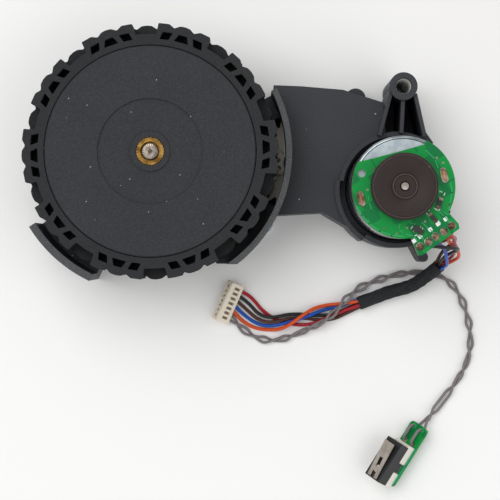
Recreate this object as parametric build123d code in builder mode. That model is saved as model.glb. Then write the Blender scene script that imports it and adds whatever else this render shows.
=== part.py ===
from build123d import *
from math import acos, atan2, cos, degrees, hypot, pi, radians, sin, sqrt, tan
import os

# Drive wheel module of a robot vacuum, lying on its gear cover, in millimetres.
# The frame: the origin is the foot of the pivot bore, +Z points up through the motor, the wheel is at -X.

os.makedirs("parts", exist_ok=True)

# Places of the two main axes, seen from above
WHEEL_X = -70.0
WHEEL_Y = -18.5
MOTOR_X = -1.6
MOTOR_Y = -28.6

# Fits
RUNNING = 0.05  # radial gap of a journal in its bearing
SEAT_GAP = 0.02  # radial gap of a pressed or glued seat
AXIAL_GAP = 0.3  # end float between pieces that turn past each other

# Gear train, from the motor pinion to the wheel
PRESSURE_ANGLE = 25.0
TOOTH_THINNING = 0.12
ADDENDUM = 0.95  # in modules
DEDENDUM = 1.25
PINION_TEETH = 12
MODULE_1, TEETH_1 = 0.6, 32
MODULE_2, TEETH_2 = 0.8, 30
MODULE_3, TEETH_3 = 0.8, 28
MODULE_4, TEETH_4 = 1.0, 36
GEAR_WIDTH = 3.0
GEAR_SHELF = 0.4  # height left between two layers of gears
PIN_R = 1.0
PIN_BOSS_R = 2.8
TOOTH_ROOM = 0.6  # between tooth tips and the case

# Heights
COVER_T = 2.4
WALL = 1.6
LAYER_1 = COVER_T + GEAR_SHELF
LAYER_2 = LAYER_1 + GEAR_WIDTH + GEAR_SHELF
LAYER_3 = LAYER_2 + GEAR_WIDTH + GEAR_SHELF
GEARS_TOP = LAYER_3 + GEAR_WIDTH + GEAR_SHELF
WHEEL_FLOOR = GEARS_TOP + 1.4
ARM_TOP = 21.0
CUP_TOP = 22.6
FENDER_TOP = 31.0
MOTOR_SEAT = 11.2
MOTOR_FLOOR_T = 1.4

# Case outline
TYRE_R = 35.2
TYRE_ROOM = 2.1  # between the tyre and the fender
BACK_R = TYRE_R - 2.2
FENDER_R = TYRE_R + TYRE_ROOM
FENDER_T = 1.7
FENDER_FROM, FENDER_TO = -60.0, 27.0
GUARD_FROM, GUARD_TO = 211.5, 244.3
GUARD_T = 2.1
FLAT_Y = 6.4 - FENDER_R  # straight lower edge, from the wheel axis
CUP_R = 16.3
CUP_MOUTH_R = 14.95
CUP_SHOULDER = 1.0
SHOULDER_FROM, SHOULDER_TO = 171, 236
HOOK_T, HOOK_H = 1.0, 4.6
HOOK_BEND, HOOK_TIP = (15.4, -16.9), (18.4, -15.6)
CUP_LEDGE = 16.0
CUP_OPEN_FROM, CUP_OPEN_TO = -21.5, 51.7

# Pivot tube and its bracket
PIVOT_R = 3.9
PIVOT_BORE_R = 2.1
PIVOT_TOP = 27.0
BRACKET_TOP = 26.0
LEG_T = 1.1
BRACKET_WEB = 2.0

# Wheel and tyre
WHEEL_BOTTOM = WHEEL_FLOOR + 0.8
WHEEL_FACE = 35.0
DISC_R = TYRE_R - 6.2
DISC_T = 1.8
BARREL_T = 2.2
HUB_R = 7.0
SPOKES = 6
TYRE_GAP = 0.15
TREAD_FLOOR_R = TYRE_R - 3.1
LUG_VALLEY_R = TYRE_R - 1.2
LUG_GROUPS = 10
LUG_PITCH = 8.6
LUG_ROWS = 3
TREAD_START = 110.1
POCKET_IN_R, POCKET_OUT_R = TYRE_R - 4.6, TYRE_R - 2.7
POCKET_DEPTH = 5.6
BUSH_R = 3.88
BUSH_BORE_R = 2.65
BUSH_H = 7.0
DISH_R = DISC_R / 2
DISH_DEPTH = 0.4
SPOKE_T = 1.4
KNURLS = 30
KNURL_DEPTH = 0.18
AXLE_R = 2.3
BEARING_R = 4.5
BEARING_FLANGE_R = 5.6
BEARING_FLANGE_T = 0.5
COVER_BEARING_R = 4.0

# Motor
CAN_R = 13.85
CAN_T = 0.9
CAN_LENGTH = 32.6
SHAFT_R = 1.0
END_PLATE_T = 1.6
MOTOR_BEARING_R = 2.6
BOARD_GAP = 0.8
BOARD_T = 1.0
MAGNET_R = 8.95
MAGNET_T = 3.6
MAGNET_GAP = 0.7
MOTOR_SCREW_PITCH = 16.0


def polar(radius, angle, centre=(0, 0)):
    """The point at a radius and a direction in degrees from a centre."""
    return (centre[0] + radius * cos(radians(angle)), centre[1] + radius * sin(radians(angle)))


def heading(start, end):
    """The direction from one point to another, in degrees."""
    return degrees(atan2(end[1] - start[1], end[0] - start[0]))


def at(centre, height=0.0):
    """A level plane with its origin over a centre."""
    return Plane(origin=(centre[0], centre[1], height))


def save(piece, label):
    """Names a finished piece and writes it."""
    piece.part.label = label
    export_step(piece.part, f"parts/{label}.step")


def ring_sector(inner, outer, start, stop, mode=Mode.ADD):
    """A piece of a ring about the sketch's origin, between two radii and two directions."""
    with BuildLine() as border:
        CenterArc((0, 0), outer, start, stop - start)
        CenterArc((0, 0), inner, start, stop - start)
        Line(polar(inner, start), polar(outer, start))
        Line(polar(inner, stop), polar(outer, stop))
    make_face(border.edges(), mode=mode)


def wall_between(start, end, thickness):
    """A straight wall's plan, from one point to another."""
    angle = heading(start, end)
    corners = [
        polar(thickness / 2, angle + 90, start),
        polar(thickness / 2, angle + 90, end),
        polar(thickness / 2, angle - 90, end),
        polar(thickness / 2, angle - 90, start),
    ]
    Polygon(*corners, align=None)


def involute(angle):
    return tan(angle) - angle


def gear_points(teeth, module, facing):
    """The corners of a spur gear, with a tooth centred on the direction it faces."""
    pitch_r = module * teeth / 2
    pressure = radians(PRESSURE_ANGLE)
    base_r = pitch_r * cos(pressure)
    half_tooth = pi / (2 * teeth) - TOOTH_THINNING / (2 * pitch_r)

    def flank(radius):
        return half_tooth + involute(pressure) - involute(acos(min(1.0, base_r / radius)))

    radii = [pitch_r - DEDENDUM * module, pitch_r, pitch_r + ADDENDUM * module]
    points = []
    for tooth in range(teeth):
        centre = radians(facing) + 2 * pi * tooth / teeth
        rising = [(radius, centre - flank(radius)) for radius in radii]
        falling = [(radius, centre + flank(radius)) for radius in reversed(radii)]
        points += [(r * cos(a), r * sin(a)) for r, a in rising + falling]
    return points


def gear_sketch(teeth, module, facing):
    """The gear's plan about the sketch's origin."""
    with BuildLine() as border:
        Polyline(*gear_points(teeth, module, facing), close=True)
    make_face(border.edges())


def tip_radius(teeth, module):
    return module * (teeth / 2 + ADDENDUM)


def third_corner(a, b, from_a, from_b):
    """The corner of a triangle on the side a, b and two lengths, to the right of a to b."""
    base = hypot(b[0] - a[0], b[1] - a[1])
    along = (from_a**2 - from_b**2 + base**2) / (2 * base)
    off = sqrt(from_a**2 - along**2)
    foot = polar(along, heading(a, b), a)
    return polar(off, heading(a, b) - 90, foot)


# Gear centres: the first and last idlers lie on the line of the two main axes
WHEEL = (WHEEL_X, WHEEL_Y)
MOTOR = (MOTOR_X, MOTOR_Y)
LINE = heading(MOTOR, WHEEL)
MESH_1 = MODULE_1 * (PINION_TEETH + TEETH_1) / 2
MESH_2 = MODULE_2 * (PINION_TEETH + TEETH_2) / 2
MESH_3 = MODULE_3 * (PINION_TEETH + TEETH_3) / 2
MESH_4 = MODULE_4 * (PINION_TEETH + TEETH_4) / 2
IDLER_1 = polar(MESH_1, LINE, MOTOR)
IDLER_3 = polar(-MESH_4, LINE, WHEEL)
IDLER_2 = third_corner(IDLER_1, IDLER_3, MESH_2, MESH_3)
LARGE_R_1 = tip_radius(TEETH_1, MODULE_1)
LARGE_R_2 = tip_radius(TEETH_2, MODULE_2)
LARGE_R_3 = tip_radius(TEETH_3, MODULE_3)
OUTPUT_R = tip_radius(TEETH_4, MODULE_4)

# Fixings under the case
SCREW_HEAD_R = 2.3
SCREW_HEAD_T = 1.3
SCREW_R = 1.2
SCREW_TIP = 8.4
SCREW_INSET = 6.0  # of the screws round the wheel, from the case's back edge
POST = (-12.3, -1.9)
POST_R = 2.9
POST_TOP = 9.2
SCREWS = [
    POST,
    (-33.0, -2.9),
    (-38.4, -38.2),
    polar(13.65, -45, MOTOR),
    polar(BACK_R - SCREW_INSET, 60, WHEEL),
    polar(BACK_R - SCREW_INSET, 130, WHEEL),
    polar(BACK_R - SCREW_INSET, 205, WHEEL),
    polar(BACK_R - SCREW_INSET, 280, WHEEL),
]
ARM = [
    (-36.0, 0.85),
    (-28.5, 0.55),
    (-16.5, -0.45),
    (-5.2, -4.05),
    (-4.2, -16.0),
    (-8.0, -38.0),
    (-12.6, -40.6),
    (-22.2, -34.9),
    (-36.0, -35.7),
]


def case_plan():
    """The outline shared by the gear case and its cover, in a sketch about the wheel axis."""
    Circle(BACK_R)
    ring_sector(1.0, FENDER_R + FENDER_T, FENDER_FROM, FENDER_TO)
    with Locations((BACK_R, FLAT_Y - 10)):
        Rectangle(2 * BACK_R + 10, 20, mode=Mode.SUBTRACT)
    ring_sector(1.0, FENDER_R + GUARD_T, GUARD_FROM, GUARD_TO)
    Polygon(*[(x - WHEEL_X, y - WHEEL_Y) for x, y in ARM], align=None)
    with Locations((MOTOR_X - WHEEL_X, MOTOR_Y - WHEEL_Y)):
        Circle(CUP_R)
    with Locations((POST[0] - WHEEL_X, POST[1] - WHEEL_Y)):
        Circle(POST_R)


with BuildPart() as gearbox_housing:
    # Gear case, lower under the wheel than along the arm
    with BuildSketch(at(WHEEL, COVER_T)):
        case_plan()
    extrude(amount=ARM_TOP - COVER_T)
    with BuildSketch(Plane.XY.offset(POST_TOP)):
        with Locations(POST):
            Circle(POST_R + 0.1)
        Polygon(*ARM, align=None, mode=Mode.SUBTRACT)
    extrude(amount=ARM_TOP, mode=Mode.SUBTRACT)
    # Fender by the arm and the short guard opposite
    with BuildSketch(at(WHEEL, COVER_T)):
        ring_sector(FENDER_R, FENDER_R + FENDER_T, FENDER_FROM, FENDER_TO)
        with Locations((BACK_R, FLAT_Y - 10)):
            Rectangle(2 * BACK_R, 20, mode=Mode.SUBTRACT)
        ring_sector(FENDER_R, FENDER_R + GUARD_T, GUARD_FROM, GUARD_TO)
    extrude(amount=FENDER_TOP - COVER_T)
    # Motor cup with its wider shoulder on the arm's side
    with BuildSketch(at(MOTOR, COVER_T)):
        Circle(CUP_R)
        ring_sector(CUP_MOUTH_R, CUP_R + CUP_SHOULDER, SHOULDER_FROM, SHOULDER_TO)
    extrude(amount=CUP_TOP - COVER_T)
    # Room for the wheel
    with BuildSketch(at(WHEEL, WHEEL_FLOOR)):
        Circle(FENDER_R)
    extrude(amount=FENDER_TOP, mode=Mode.SUBTRACT)
    # Pivot tube, its two legs, the rib between them and the web below
    with BuildSketch(Plane.XY):
        Circle(PIVOT_R)
    extrude(amount=PIVOT_TOP)
    with BuildSketch(Plane.XY.offset(COVER_T)):
        wall_between((-3.3, -1.2), (-6.6, -13.6), LEG_T)
        wall_between((3.3, -2.0), (6.0, -14.0), LEG_T)
        wall_between((0.0, -3.0), (-0.5, -13.0), LEG_T)
    extrude(amount=BRACKET_TOP - COVER_T)
    with BuildSketch(Plane.XY.offset(COVER_T)):
        Polygon((-3.3, -1.2), (3.3, -2.0), (6.0, -14.0), (-6.6, -14.0), align=None)
    extrude(amount=BRACKET_WEB)
    # Flared end of the right leg where the cup opens
    with BuildSketch(Plane.XY.offset(COVER_T)):
        Polygon((5.4, -12.4), (6.4, -12.2), (8.7, -15.5), (7.8, -16.4), (5.0, -14.6), align=None)
    extrude(amount=CUP_TOP - COVER_T)
    # Spring peg and wire hook on the lower side of the cup
    with BuildSketch(at(MOTOR, LAYER_2)):
        wall_between(polar(15.5, -70), polar(20.4, -68), 2.7)
        with Locations(polar(20.4, -68)):
            Circle(1.35)
    extrude(amount=ARM_TOP - LAYER_2)
    with BuildSketch(at(MOTOR, LAYER_2)):
        wall_between(polar(CUP_R - 1.0, -52), HOOK_BEND, HOOK_T)
        wall_between(HOOK_BEND, HOOK_TIP, HOOK_T)
    extrude(amount=HOOK_H)
    # Openings: motor bore, mouth of the cup and its open side
    with BuildSketch(at(MOTOR, MOTOR_SEAT)):
        Circle(CAN_R + 0.15)
    extrude(amount=CUP_TOP, mode=Mode.SUBTRACT)
    with BuildSketch(at(MOTOR, CUP_LEDGE)):
        Circle(CUP_MOUTH_R)
        ring_sector(CAN_R, CUP_MOUTH_R + CUP_SHOULDER, SHOULDER_FROM, SHOULDER_TO)
    extrude(amount=CUP_TOP, mode=Mode.SUBTRACT)
    with BuildSketch(at(MOTOR, CUP_LEDGE)):
        ring_sector(CAN_R, CUP_R + 3, CUP_OPEN_FROM, CUP_OPEN_TO)
    extrude(amount=CUP_TOP, mode=Mode.SUBTRACT)
    with BuildSketch(at(MOTOR, COVER_T)):
        Circle(MOTOR_BEARING_R + 2.5)
        with PolarLocations(MOTOR_SCREW_PITCH / 2, 2, start_angle=LINE + 90):
            Circle(SCREW_R + 0.15)
    extrude(amount=MOTOR_SEAT, mode=Mode.SUBTRACT)
    # Room for the gears, one pocket about each axis
    with BuildSketch(at(MOTOR, COVER_T)):
        Circle(11.0)
    extrude(amount=MOTOR_SEAT - MOTOR_FLOOR_T - COVER_T, mode=Mode.SUBTRACT)
    with BuildSketch(at(IDLER_1, COVER_T)):
        Circle(LARGE_R_1 + TOOTH_ROOM)
    extrude(amount=MOTOR_SEAT - MOTOR_FLOOR_T - COVER_T, mode=Mode.SUBTRACT)
    with BuildSketch(at(IDLER_2, COVER_T)):
        Circle(LARGE_R_2 + TOOTH_ROOM)
    extrude(amount=ARM_TOP - WALL - COVER_T, mode=Mode.SUBTRACT)
    with BuildSketch(at(IDLER_2, GEARS_TOP)):
        Circle(PIN_BOSS_R)
    extrude(amount=ARM_TOP - WALL - GEARS_TOP)
    with BuildSketch(at(IDLER_3, COVER_T)):
        Circle(LARGE_R_3 + TOOTH_ROOM)
    extrude(amount=GEARS_TOP - COVER_T, mode=Mode.SUBTRACT)
    with BuildSketch(at(WHEEL, COVER_T)):
        Circle(OUTPUT_R + TOOTH_ROOM)
    extrude(amount=LAYER_2 - COVER_T, mode=Mode.SUBTRACT)
    # Pin holes, the wheel bearing's seat, screw holes and the pivot bore
    with BuildSketch(Plane.XY.offset(COVER_T)):
        with Locations(IDLER_1):
            Circle(PIN_R + SEAT_GAP)
    extrude(amount=MOTOR_SEAT - 0.5 - COVER_T, mode=Mode.SUBTRACT)
    with BuildSketch(Plane.XY.offset(COVER_T)):
        with Locations(IDLER_2, IDLER_3):
            Circle(PIN_R + SEAT_GAP)
    extrude(amount=WHEEL_FLOOR - 0.5 - COVER_T, mode=Mode.SUBTRACT)
    with BuildSketch(at(WHEEL, COVER_T)):
        Circle(BEARING_R + SEAT_GAP)
    extrude(amount=WHEEL_FLOOR, mode=Mode.SUBTRACT)
    with BuildSketch(Plane.XY.offset(COVER_T)):
        with Locations(*SCREWS):
            Circle(SCREW_R + SEAT_GAP)
    extrude(amount=SCREW_TIP - COVER_T, mode=Mode.SUBTRACT)
    with BuildSketch(Plane.XY):
        Circle(PIVOT_BORE_R)
    extrude(amount=PIVOT_TOP, mode=Mode.SUBTRACT)
    chamfer(gearbox_housing.edges().filter_by(GeomType.CIRCLE).filter_by(
        lambda e: abs(e.radius - PIVOT_BORE_R) < 0.01 and e.center().Z > 1), 0.3)
save(gearbox_housing, "gearbox_housing")

with BuildPart() as gearbox_cover:
    with BuildSketch(at(WHEEL)):
        case_plan()
    extrude(amount=COVER_T)
    with BuildSketch(Plane.XY):
        with Locations(*SCREWS):
            Circle(SCREW_HEAD_R + 0.1)
    extrude(amount=SCREW_HEAD_T + 0.1, mode=Mode.SUBTRACT)
    with BuildSketch(Plane.XY):
        with Locations(*SCREWS):
            Circle(SCREW_R + SEAT_GAP)
        with Locations((0, 0)):
            Circle(PIVOT_R + 0.1)
    extrude(amount=COVER_T, mode=Mode.SUBTRACT)
    with BuildSketch(Plane.XY.offset(COVER_T)):
        with Locations(IDLER_1, IDLER_2, IDLER_3):
            Circle(PIN_R + SEAT_GAP)
    extrude(amount=-COVER_T + 0.8, mode=Mode.SUBTRACT)
    with BuildSketch(at(WHEEL, COVER_T)):
        Circle(COVER_BEARING_R + SEAT_GAP)
    extrude(amount=-COVER_T + 0.6, mode=Mode.SUBTRACT)
save(gearbox_cover, "gearbox_cover")

with BuildPart() as cover_screws:
    with BuildSketch(Plane.XY.offset(0.1)):
        with Locations(*SCREWS):
            Circle(SCREW_HEAD_R)
    extrude(amount=SCREW_HEAD_T)
    with BuildSketch(Plane.XY.offset(0.1)):
        with Locations(*SCREWS):
            Circle(SCREW_R)
    extrude(amount=SCREW_TIP - 0.4)
save(cover_screws, "cover_screws")


def compound_gear(centre, wheel, pinion, hub_r):
    """An idler on its pin. Wheel and pinion are (teeth, module, facing, low, high)."""
    with BuildPart() as gear:
        for teeth, module, facing, low, high in (wheel, pinion):
            with BuildSketch(at(centre, low)):
                gear_sketch(teeth, module, facing)
            extrude(amount=high - low)
        with BuildSketch(at(centre, COVER_T + GEAR_SHELF / 2)):
            Circle(hub_r)
        extrude(amount=max(wheel[3], pinion[3]) - COVER_T - GEAR_SHELF / 2)
        with BuildSketch(at(centre, COVER_T)):
            Circle(PIN_R + RUNNING)
        extrude(amount=GEARS_TOP, mode=Mode.SUBTRACT)
    return gear


# Idlers, each meshing with the one before at the layer they share
idler_gear_1 = compound_gear(
    IDLER_1,
    (TEETH_1, MODULE_1, heading(IDLER_1, MOTOR) + 180 / TEETH_1, LAYER_1, LAYER_1 + GEAR_WIDTH),
    (PINION_TEETH, MODULE_2, heading(IDLER_1, IDLER_2), LAYER_1 + GEAR_WIDTH, LAYER_2 + GEAR_WIDTH),
    PIN_R + 1.2,
)
save(idler_gear_1, "idler_gear_1")
idler_gear_2 = compound_gear(
    IDLER_2,
    (TEETH_2, MODULE_2, heading(IDLER_2, IDLER_1) + 180 / TEETH_2, LAYER_2, LAYER_2 + GEAR_WIDTH),
    (PINION_TEETH, MODULE_3, heading(IDLER_2, IDLER_3), LAYER_2 + GEAR_WIDTH, LAYER_3 + GEAR_WIDTH),
    PIN_R + 2.0,
)
save(idler_gear_2, "idler_gear_2")
idler_gear_3 = compound_gear(
    IDLER_3,
    (TEETH_3, MODULE_3, heading(IDLER_3, IDLER_2) + 180 / TEETH_3, LAYER_3, LAYER_3 + GEAR_WIDTH),
    (PINION_TEETH, MODULE_4, heading(IDLER_3, WHEEL), LAYER_1, LAYER_1 + GEAR_WIDTH),
    PIN_R + 1.5,
)
save(idler_gear_3, "idler_gear_3")

with BuildPart() as idler_pins:
    with BuildSketch(Plane.XY.offset(0.85)):
        with Locations(IDLER_1):
            Circle(PIN_R)
    extrude(amount=MOTOR_SEAT - 0.55 - 0.85)
    with BuildSketch(Plane.XY.offset(0.85)):
        with Locations(IDLER_2, IDLER_3):
            Circle(PIN_R)
    extrude(amount=WHEEL_FLOOR - 0.55 - 0.85)
save(idler_pins, "idler_pins")

with BuildPart() as output_gear:
    with BuildSketch(at(WHEEL, LAYER_1)):
        gear_sketch(TEETH_4, MODULE_4, heading(WHEEL, IDLER_3) + 180 / TEETH_4)
    extrude(amount=GEAR_WIDTH)
    with BuildSketch(at(WHEEL, COVER_T + AXIAL_GAP)):
        Circle(AXLE_R + 2.2)
    extrude(amount=LAYER_2 - AXIAL_GAP - COVER_T - 0.1)
    with BuildSketch(at(WHEEL, COVER_T)):
        Circle(AXLE_R + SEAT_GAP)
    extrude(amount=GEARS_TOP, mode=Mode.SUBTRACT)
save(output_gear, "output_gear")

with BuildPart() as wheel_axle:
    with BuildSketch(at(WHEEL, 0.9)):
        Circle(AXLE_R)
    extrude(amount=WHEEL_FACE - 0.3 - 0.9)
save(wheel_axle, "wheel_axle")

with BuildPart() as wheel_bearing:
    with BuildSketch(at(WHEEL, LAYER_2 + 0.1)):
        Circle(BEARING_R)
    extrude(amount=WHEEL_FLOOR - LAYER_2 - 0.1)
    with BuildSketch(at(WHEEL, WHEEL_FLOOR)):
        Circle(BEARING_FLANGE_R)
    extrude(amount=BEARING_FLANGE_T)
    with BuildSketch(at(WHEEL, LAYER_2)):
        Circle(AXLE_R + RUNNING)
    extrude(amount=WHEEL_FLOOR, mode=Mode.SUBTRACT)
save(wheel_bearing, "wheel_bearing")

with BuildPart() as cover_bearing:
    with BuildSketch(at(WHEEL, 0.65)):
        Circle(COVER_BEARING_R)
        Circle(AXLE_R + RUNNING, mode=Mode.SUBTRACT)
    extrude(amount=COVER_T - 0.65)
save(cover_bearing, "cover_bearing")

# The driven wheel: moulded disc, knurled insert and tyre
with BuildPart() as wheel_disc:
    with BuildSketch(at(WHEEL, WHEEL_BOTTOM)):
        Circle(DISC_R)
        Circle(DISC_R - BARREL_T, mode=Mode.SUBTRACT)
        Circle(HUB_R)
        with PolarLocations((HUB_R + DISC_R - BARREL_T) / 2, SPOKES):
            Rectangle(DISC_R - BARREL_T - HUB_R + 2, SPOKE_T)
    extrude(amount=WHEEL_FACE - DISC_T - WHEEL_BOTTOM)
    with BuildSketch(at(WHEEL, WHEEL_FACE - DISC_T)):
        Circle(DISC_R)
    extrude(amount=DISC_T)
    chamfer(wheel_disc.edges().group_by(Axis.Z)[-1], 0.35)
    with BuildSketch(at(WHEEL, WHEEL_FACE - DISH_DEPTH)):
        Circle(DISH_R)
        Circle(BUSH_R + 1.6, mode=Mode.SUBTRACT)
    extrude(amount=DISC_T, mode=Mode.SUBTRACT)
    with BuildSketch(at(WHEEL, WHEEL_FACE - BUSH_H)):
        Circle(BUSH_R + SEAT_GAP)
    extrude(amount=BUSH_H + 1, mode=Mode.SUBTRACT)
    with BuildSketch(at(WHEEL, WHEEL_BOTTOM)):
        Circle(AXLE_R + SEAT_GAP)
    extrude(amount=WHEEL_FACE, mode=Mode.SUBTRACT)
save(wheel_disc, "wheel_disc")

with BuildPart() as hub_bush:
    with BuildSketch(at(WHEEL, WHEEL_FACE - BUSH_H)):
        with BuildLine():
            knurl = [
                polar(BUSH_R - KNURL_DEPTH * (step % 2), 180 * step / KNURLS)
                for step in range(2 * KNURLS)
            ]
            Polyline(*knurl, close=True)
        make_face()
        Circle(AXLE_R + SEAT_GAP, mode=Mode.SUBTRACT)
    extrude(amount=BUSH_H - 0.1)
    with BuildSketch(at(WHEEL, WHEEL_FACE - 1.6)):
        Circle(BUSH_BORE_R)
    extrude(amount=3, mode=Mode.SUBTRACT)
save(hub_bush, "hub_bush")

TYRE_LOW = WHEEL_BOTTOM + 0.2
ROW_W = (WHEEL_FACE - 0.1 - TYRE_LOW) / LUG_ROWS


def lug_group():
    """Three lugs in a row with shallow valleys between them, centred on the sketch's +X."""
    reach = LUG_PITCH * 1.5
    flat = LUG_PITCH * 0.31
    points = [
        (TREAD_FLOOR_R - 0.3, -reach - 0.8),
        (LUG_VALLEY_R + 0.2, -reach + 0.1),
    ]
    for lug in (-LUG_PITCH, 0, LUG_PITCH):
        points += [(TYRE_R, lug - flat), (TYRE_R, lug + flat)]
        if lug < LUG_PITCH:
            points.append((LUG_VALLEY_R, lug + LUG_PITCH / 2))
    points += [
        (LUG_VALLEY_R + 0.2, reach - 0.1),
        (TREAD_FLOOR_R - 0.3, reach + 0.8),
    ]
    Polygon(*[polar(r, a) for r, a in points], align=None)


def lug_pockets():
    """The three lightening pockets under a group of lugs."""
    for corners in (
        [(POCKET_OUT_R, -1.8), (POCKET_OUT_R, 1.8), (POCKET_IN_R, 3.75), (POCKET_IN_R, -3.75)],
        [(POCKET_OUT_R, 5.1), (POCKET_OUT_R, 9.6), (POCKET_IN_R, 11.4), (POCKET_IN_R, 6.8)],
        [(POCKET_OUT_R, -5.1), (POCKET_OUT_R, -9.6), (POCKET_IN_R, -11.4), (POCKET_IN_R, -6.8)],
    ):
        Polygon(*[polar(r, a) for r, a in corners], align=None)


with BuildPart() as tyre:
    with BuildSketch(at(WHEEL, TYRE_LOW)):
        Circle(TREAD_FLOOR_R)
    extrude(amount=LUG_ROWS * ROW_W)
    for row in range(LUG_ROWS):
        turn = TREAD_START + 180 / LUG_GROUPS * (row % 2)
        with BuildSketch(at(WHEEL, TYRE_LOW + row * ROW_W)):
            with PolarLocations(0, LUG_GROUPS, start_angle=turn):
                lug_group()
        extrude(amount=ROW_W)
    with BuildSketch(at(WHEEL, TYRE_LOW)):
        Circle(DISC_R + TYRE_GAP)
    extrude(amount=WHEEL_FACE, mode=Mode.SUBTRACT)
    for end, depth in ((TYRE_LOW + LUG_ROWS * ROW_W, -POCKET_DEPTH), (TYRE_LOW, POCKET_DEPTH)):
        with BuildSketch(at(WHEEL, end)):
            with PolarLocations(0, LUG_GROUPS, start_angle=TREAD_START):
                lug_pockets()
        extrude(amount=depth, mode=Mode.SUBTRACT)
save(tyre, "tyre")

# Motor: steel can with two magnets, end plate with brushes, and the rotor
CAN_END = MOTOR_SEAT + CAN_LENGTH
PLATE_R = CAN_R - CAN_T - SEAT_GAP
PLATE_LOW = CAN_END - END_PLATE_T - 0.2
TERMINALS = [(-11.4, -3.2), (10.8, 3.1)]
TERMINAL_W, TERMINAL_T = 2.6, 0.6
TERMINAL_LEAN = 14

with BuildPart() as motor_can:
    with BuildSketch(at(MOTOR, MOTOR_SEAT)):
        Circle(CAN_R)
    extrude(amount=CAN_LENGTH)
    chamfer(motor_can.edges().group_by(Axis.Z)[0], 0.6)
    with BuildSketch(at(MOTOR, MOTOR_SEAT - 1.2)):
        Circle(MOTOR_BEARING_R + 2.3)
    extrude(amount=1.2)
    with BuildSketch(at(MOTOR, MOTOR_SEAT + CAN_T)):
        Circle(CAN_R - CAN_T)
    extrude(amount=CAN_LENGTH, mode=Mode.SUBTRACT)
    with BuildSketch(at(MOTOR, MOTOR_SEAT - 2)):
        Circle(MOTOR_BEARING_R + SEAT_GAP)
        with PolarLocations(MOTOR_SCREW_PITCH / 2, 2, start_angle=LINE + 90):
            Circle(SCREW_R + SEAT_GAP)
    extrude(amount=4, mode=Mode.SUBTRACT)
save(motor_can, "motor_can")

with BuildPart() as motor_screws:
    with BuildSketch(at(MOTOR, MOTOR_SEAT - MOTOR_FLOOR_T - SCREW_HEAD_T)):
        with PolarLocations(MOTOR_SCREW_PITCH / 2, 2, start_angle=LINE + 90):
            Circle(SCREW_HEAD_R)
    extrude(amount=SCREW_HEAD_T)
    with BuildSketch(at(MOTOR, MOTOR_SEAT - MOTOR_FLOOR_T)):
        with PolarLocations(MOTOR_SCREW_PITCH / 2, 2, start_angle=LINE + 90):
            Circle(SCREW_R)
    extrude(amount=MOTOR_FLOOR_T + CAN_T + 1.2)
save(motor_screws, "motor_screws")

with BuildPart() as motor_end_plate:
    with BuildSketch(at(MOTOR, PLATE_LOW)):
        Circle(PLATE_R)
    extrude(amount=END_PLATE_T)
    with BuildSketch(at(MOTOR, PLATE_LOW)):
        Circle(MOTOR_BEARING_R + 1)
    extrude(amount=END_PLATE_T + 0.9)
    with BuildSketch(at(MOTOR, PLATE_LOW)):
        Circle(MOTOR_BEARING_R + SEAT_GAP)
        for place in TERMINALS:
            with Locations(place):
                Rectangle(TERMINAL_T + 0.04, TERMINAL_W + 0.04, rotation=TERMINAL_LEAN)
    extrude(amount=END_PLATE_T + 2, mode=Mode.SUBTRACT)
save(motor_end_plate, "motor_end_plate")

with BuildPart() as motor_bearings:
    for low, high in (
        (MOTOR_SEAT - 1.2, MOTOR_SEAT + 2.4),
        (PLATE_LOW - 0.6, PLATE_LOW + END_PLATE_T + 0.9),
    ):
        with BuildSketch(at(MOTOR, low)):
            Circle(MOTOR_BEARING_R)
            Circle(SHAFT_R + RUNNING, mode=Mode.SUBTRACT)
        extrude(amount=high - low)
save(motor_bearings, "motor_bearings")

MAGNET_ARC = 62
FIELD_R = CAN_R - CAN_T - SEAT_GAP
CORE_R = 10.4
CORE_LOW, CORE_HIGH = 17.0, 33.0

with BuildPart() as motor_magnets:
    with BuildSketch(at(MOTOR, CORE_LOW - 2)):
        for side in (LINE, LINE + 180):
            ring_sector(CORE_R + 0.5, FIELD_R, side - MAGNET_ARC, side + MAGNET_ARC)
    extrude(amount=CORE_HIGH - CORE_LOW + 4)
save(motor_magnets, "motor_magnets")

ARM_W = 3.0
SHOE_T = 1.7
with BuildPart() as armature_core:
    with BuildSketch(at(MOTOR, CORE_LOW)):
        Circle(3.6)
        for pole in (90, 210, 330):
            with Locations(Location(polar(CORE_R / 2 - 0.5, pole), pole)):
                Rectangle(CORE_R - 1, ARM_W)
            ring_sector(CORE_R - SHOE_T, CORE_R, pole - 50, pole + 50)
        Circle(SHAFT_R + SEAT_GAP, mode=Mode.SUBTRACT)
    extrude(amount=CORE_HIGH - CORE_LOW)
save(armature_core, "armature_core")

COIL_LOW_R, COIL_HIGH_R = 4.4, 7.8
COIL_W, COIL_END = 7.0, 1.4
with BuildPart() as armature_coils:
    with BuildSketch(at(MOTOR, CORE_LOW - COIL_END)):
        for pole in (90, 210, 330):
            with Locations(Location(polar((COIL_LOW_R + COIL_HIGH_R) / 2, pole), pole)):
                Rectangle(COIL_HIGH_R - COIL_LOW_R, COIL_W)
    extrude(amount=CORE_HIGH - CORE_LOW + 2 * COIL_END)
    with BuildSketch(at(MOTOR, CORE_LOW - SEAT_GAP)):
        for pole in (90, 210, 330):
            with Locations(Location(polar(CORE_R / 2, pole), pole)):
                Rectangle(CORE_R, ARM_W + 2 * SEAT_GAP)
    extrude(amount=CORE_HIGH - CORE_LOW + 2 * SEAT_GAP, mode=Mode.SUBTRACT)
save(armature_coils, "armature_coils")

COMMUTATOR_R = 3.0
with BuildPart() as commutator:
    with BuildSketch(at(MOTOR, CORE_HIGH + 2.5)):
        Circle(COMMUTATOR_R)
        Circle(SHAFT_R + SEAT_GAP, mode=Mode.SUBTRACT)
    extrude(amount=4.4)
save(commutator, "commutator")

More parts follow.
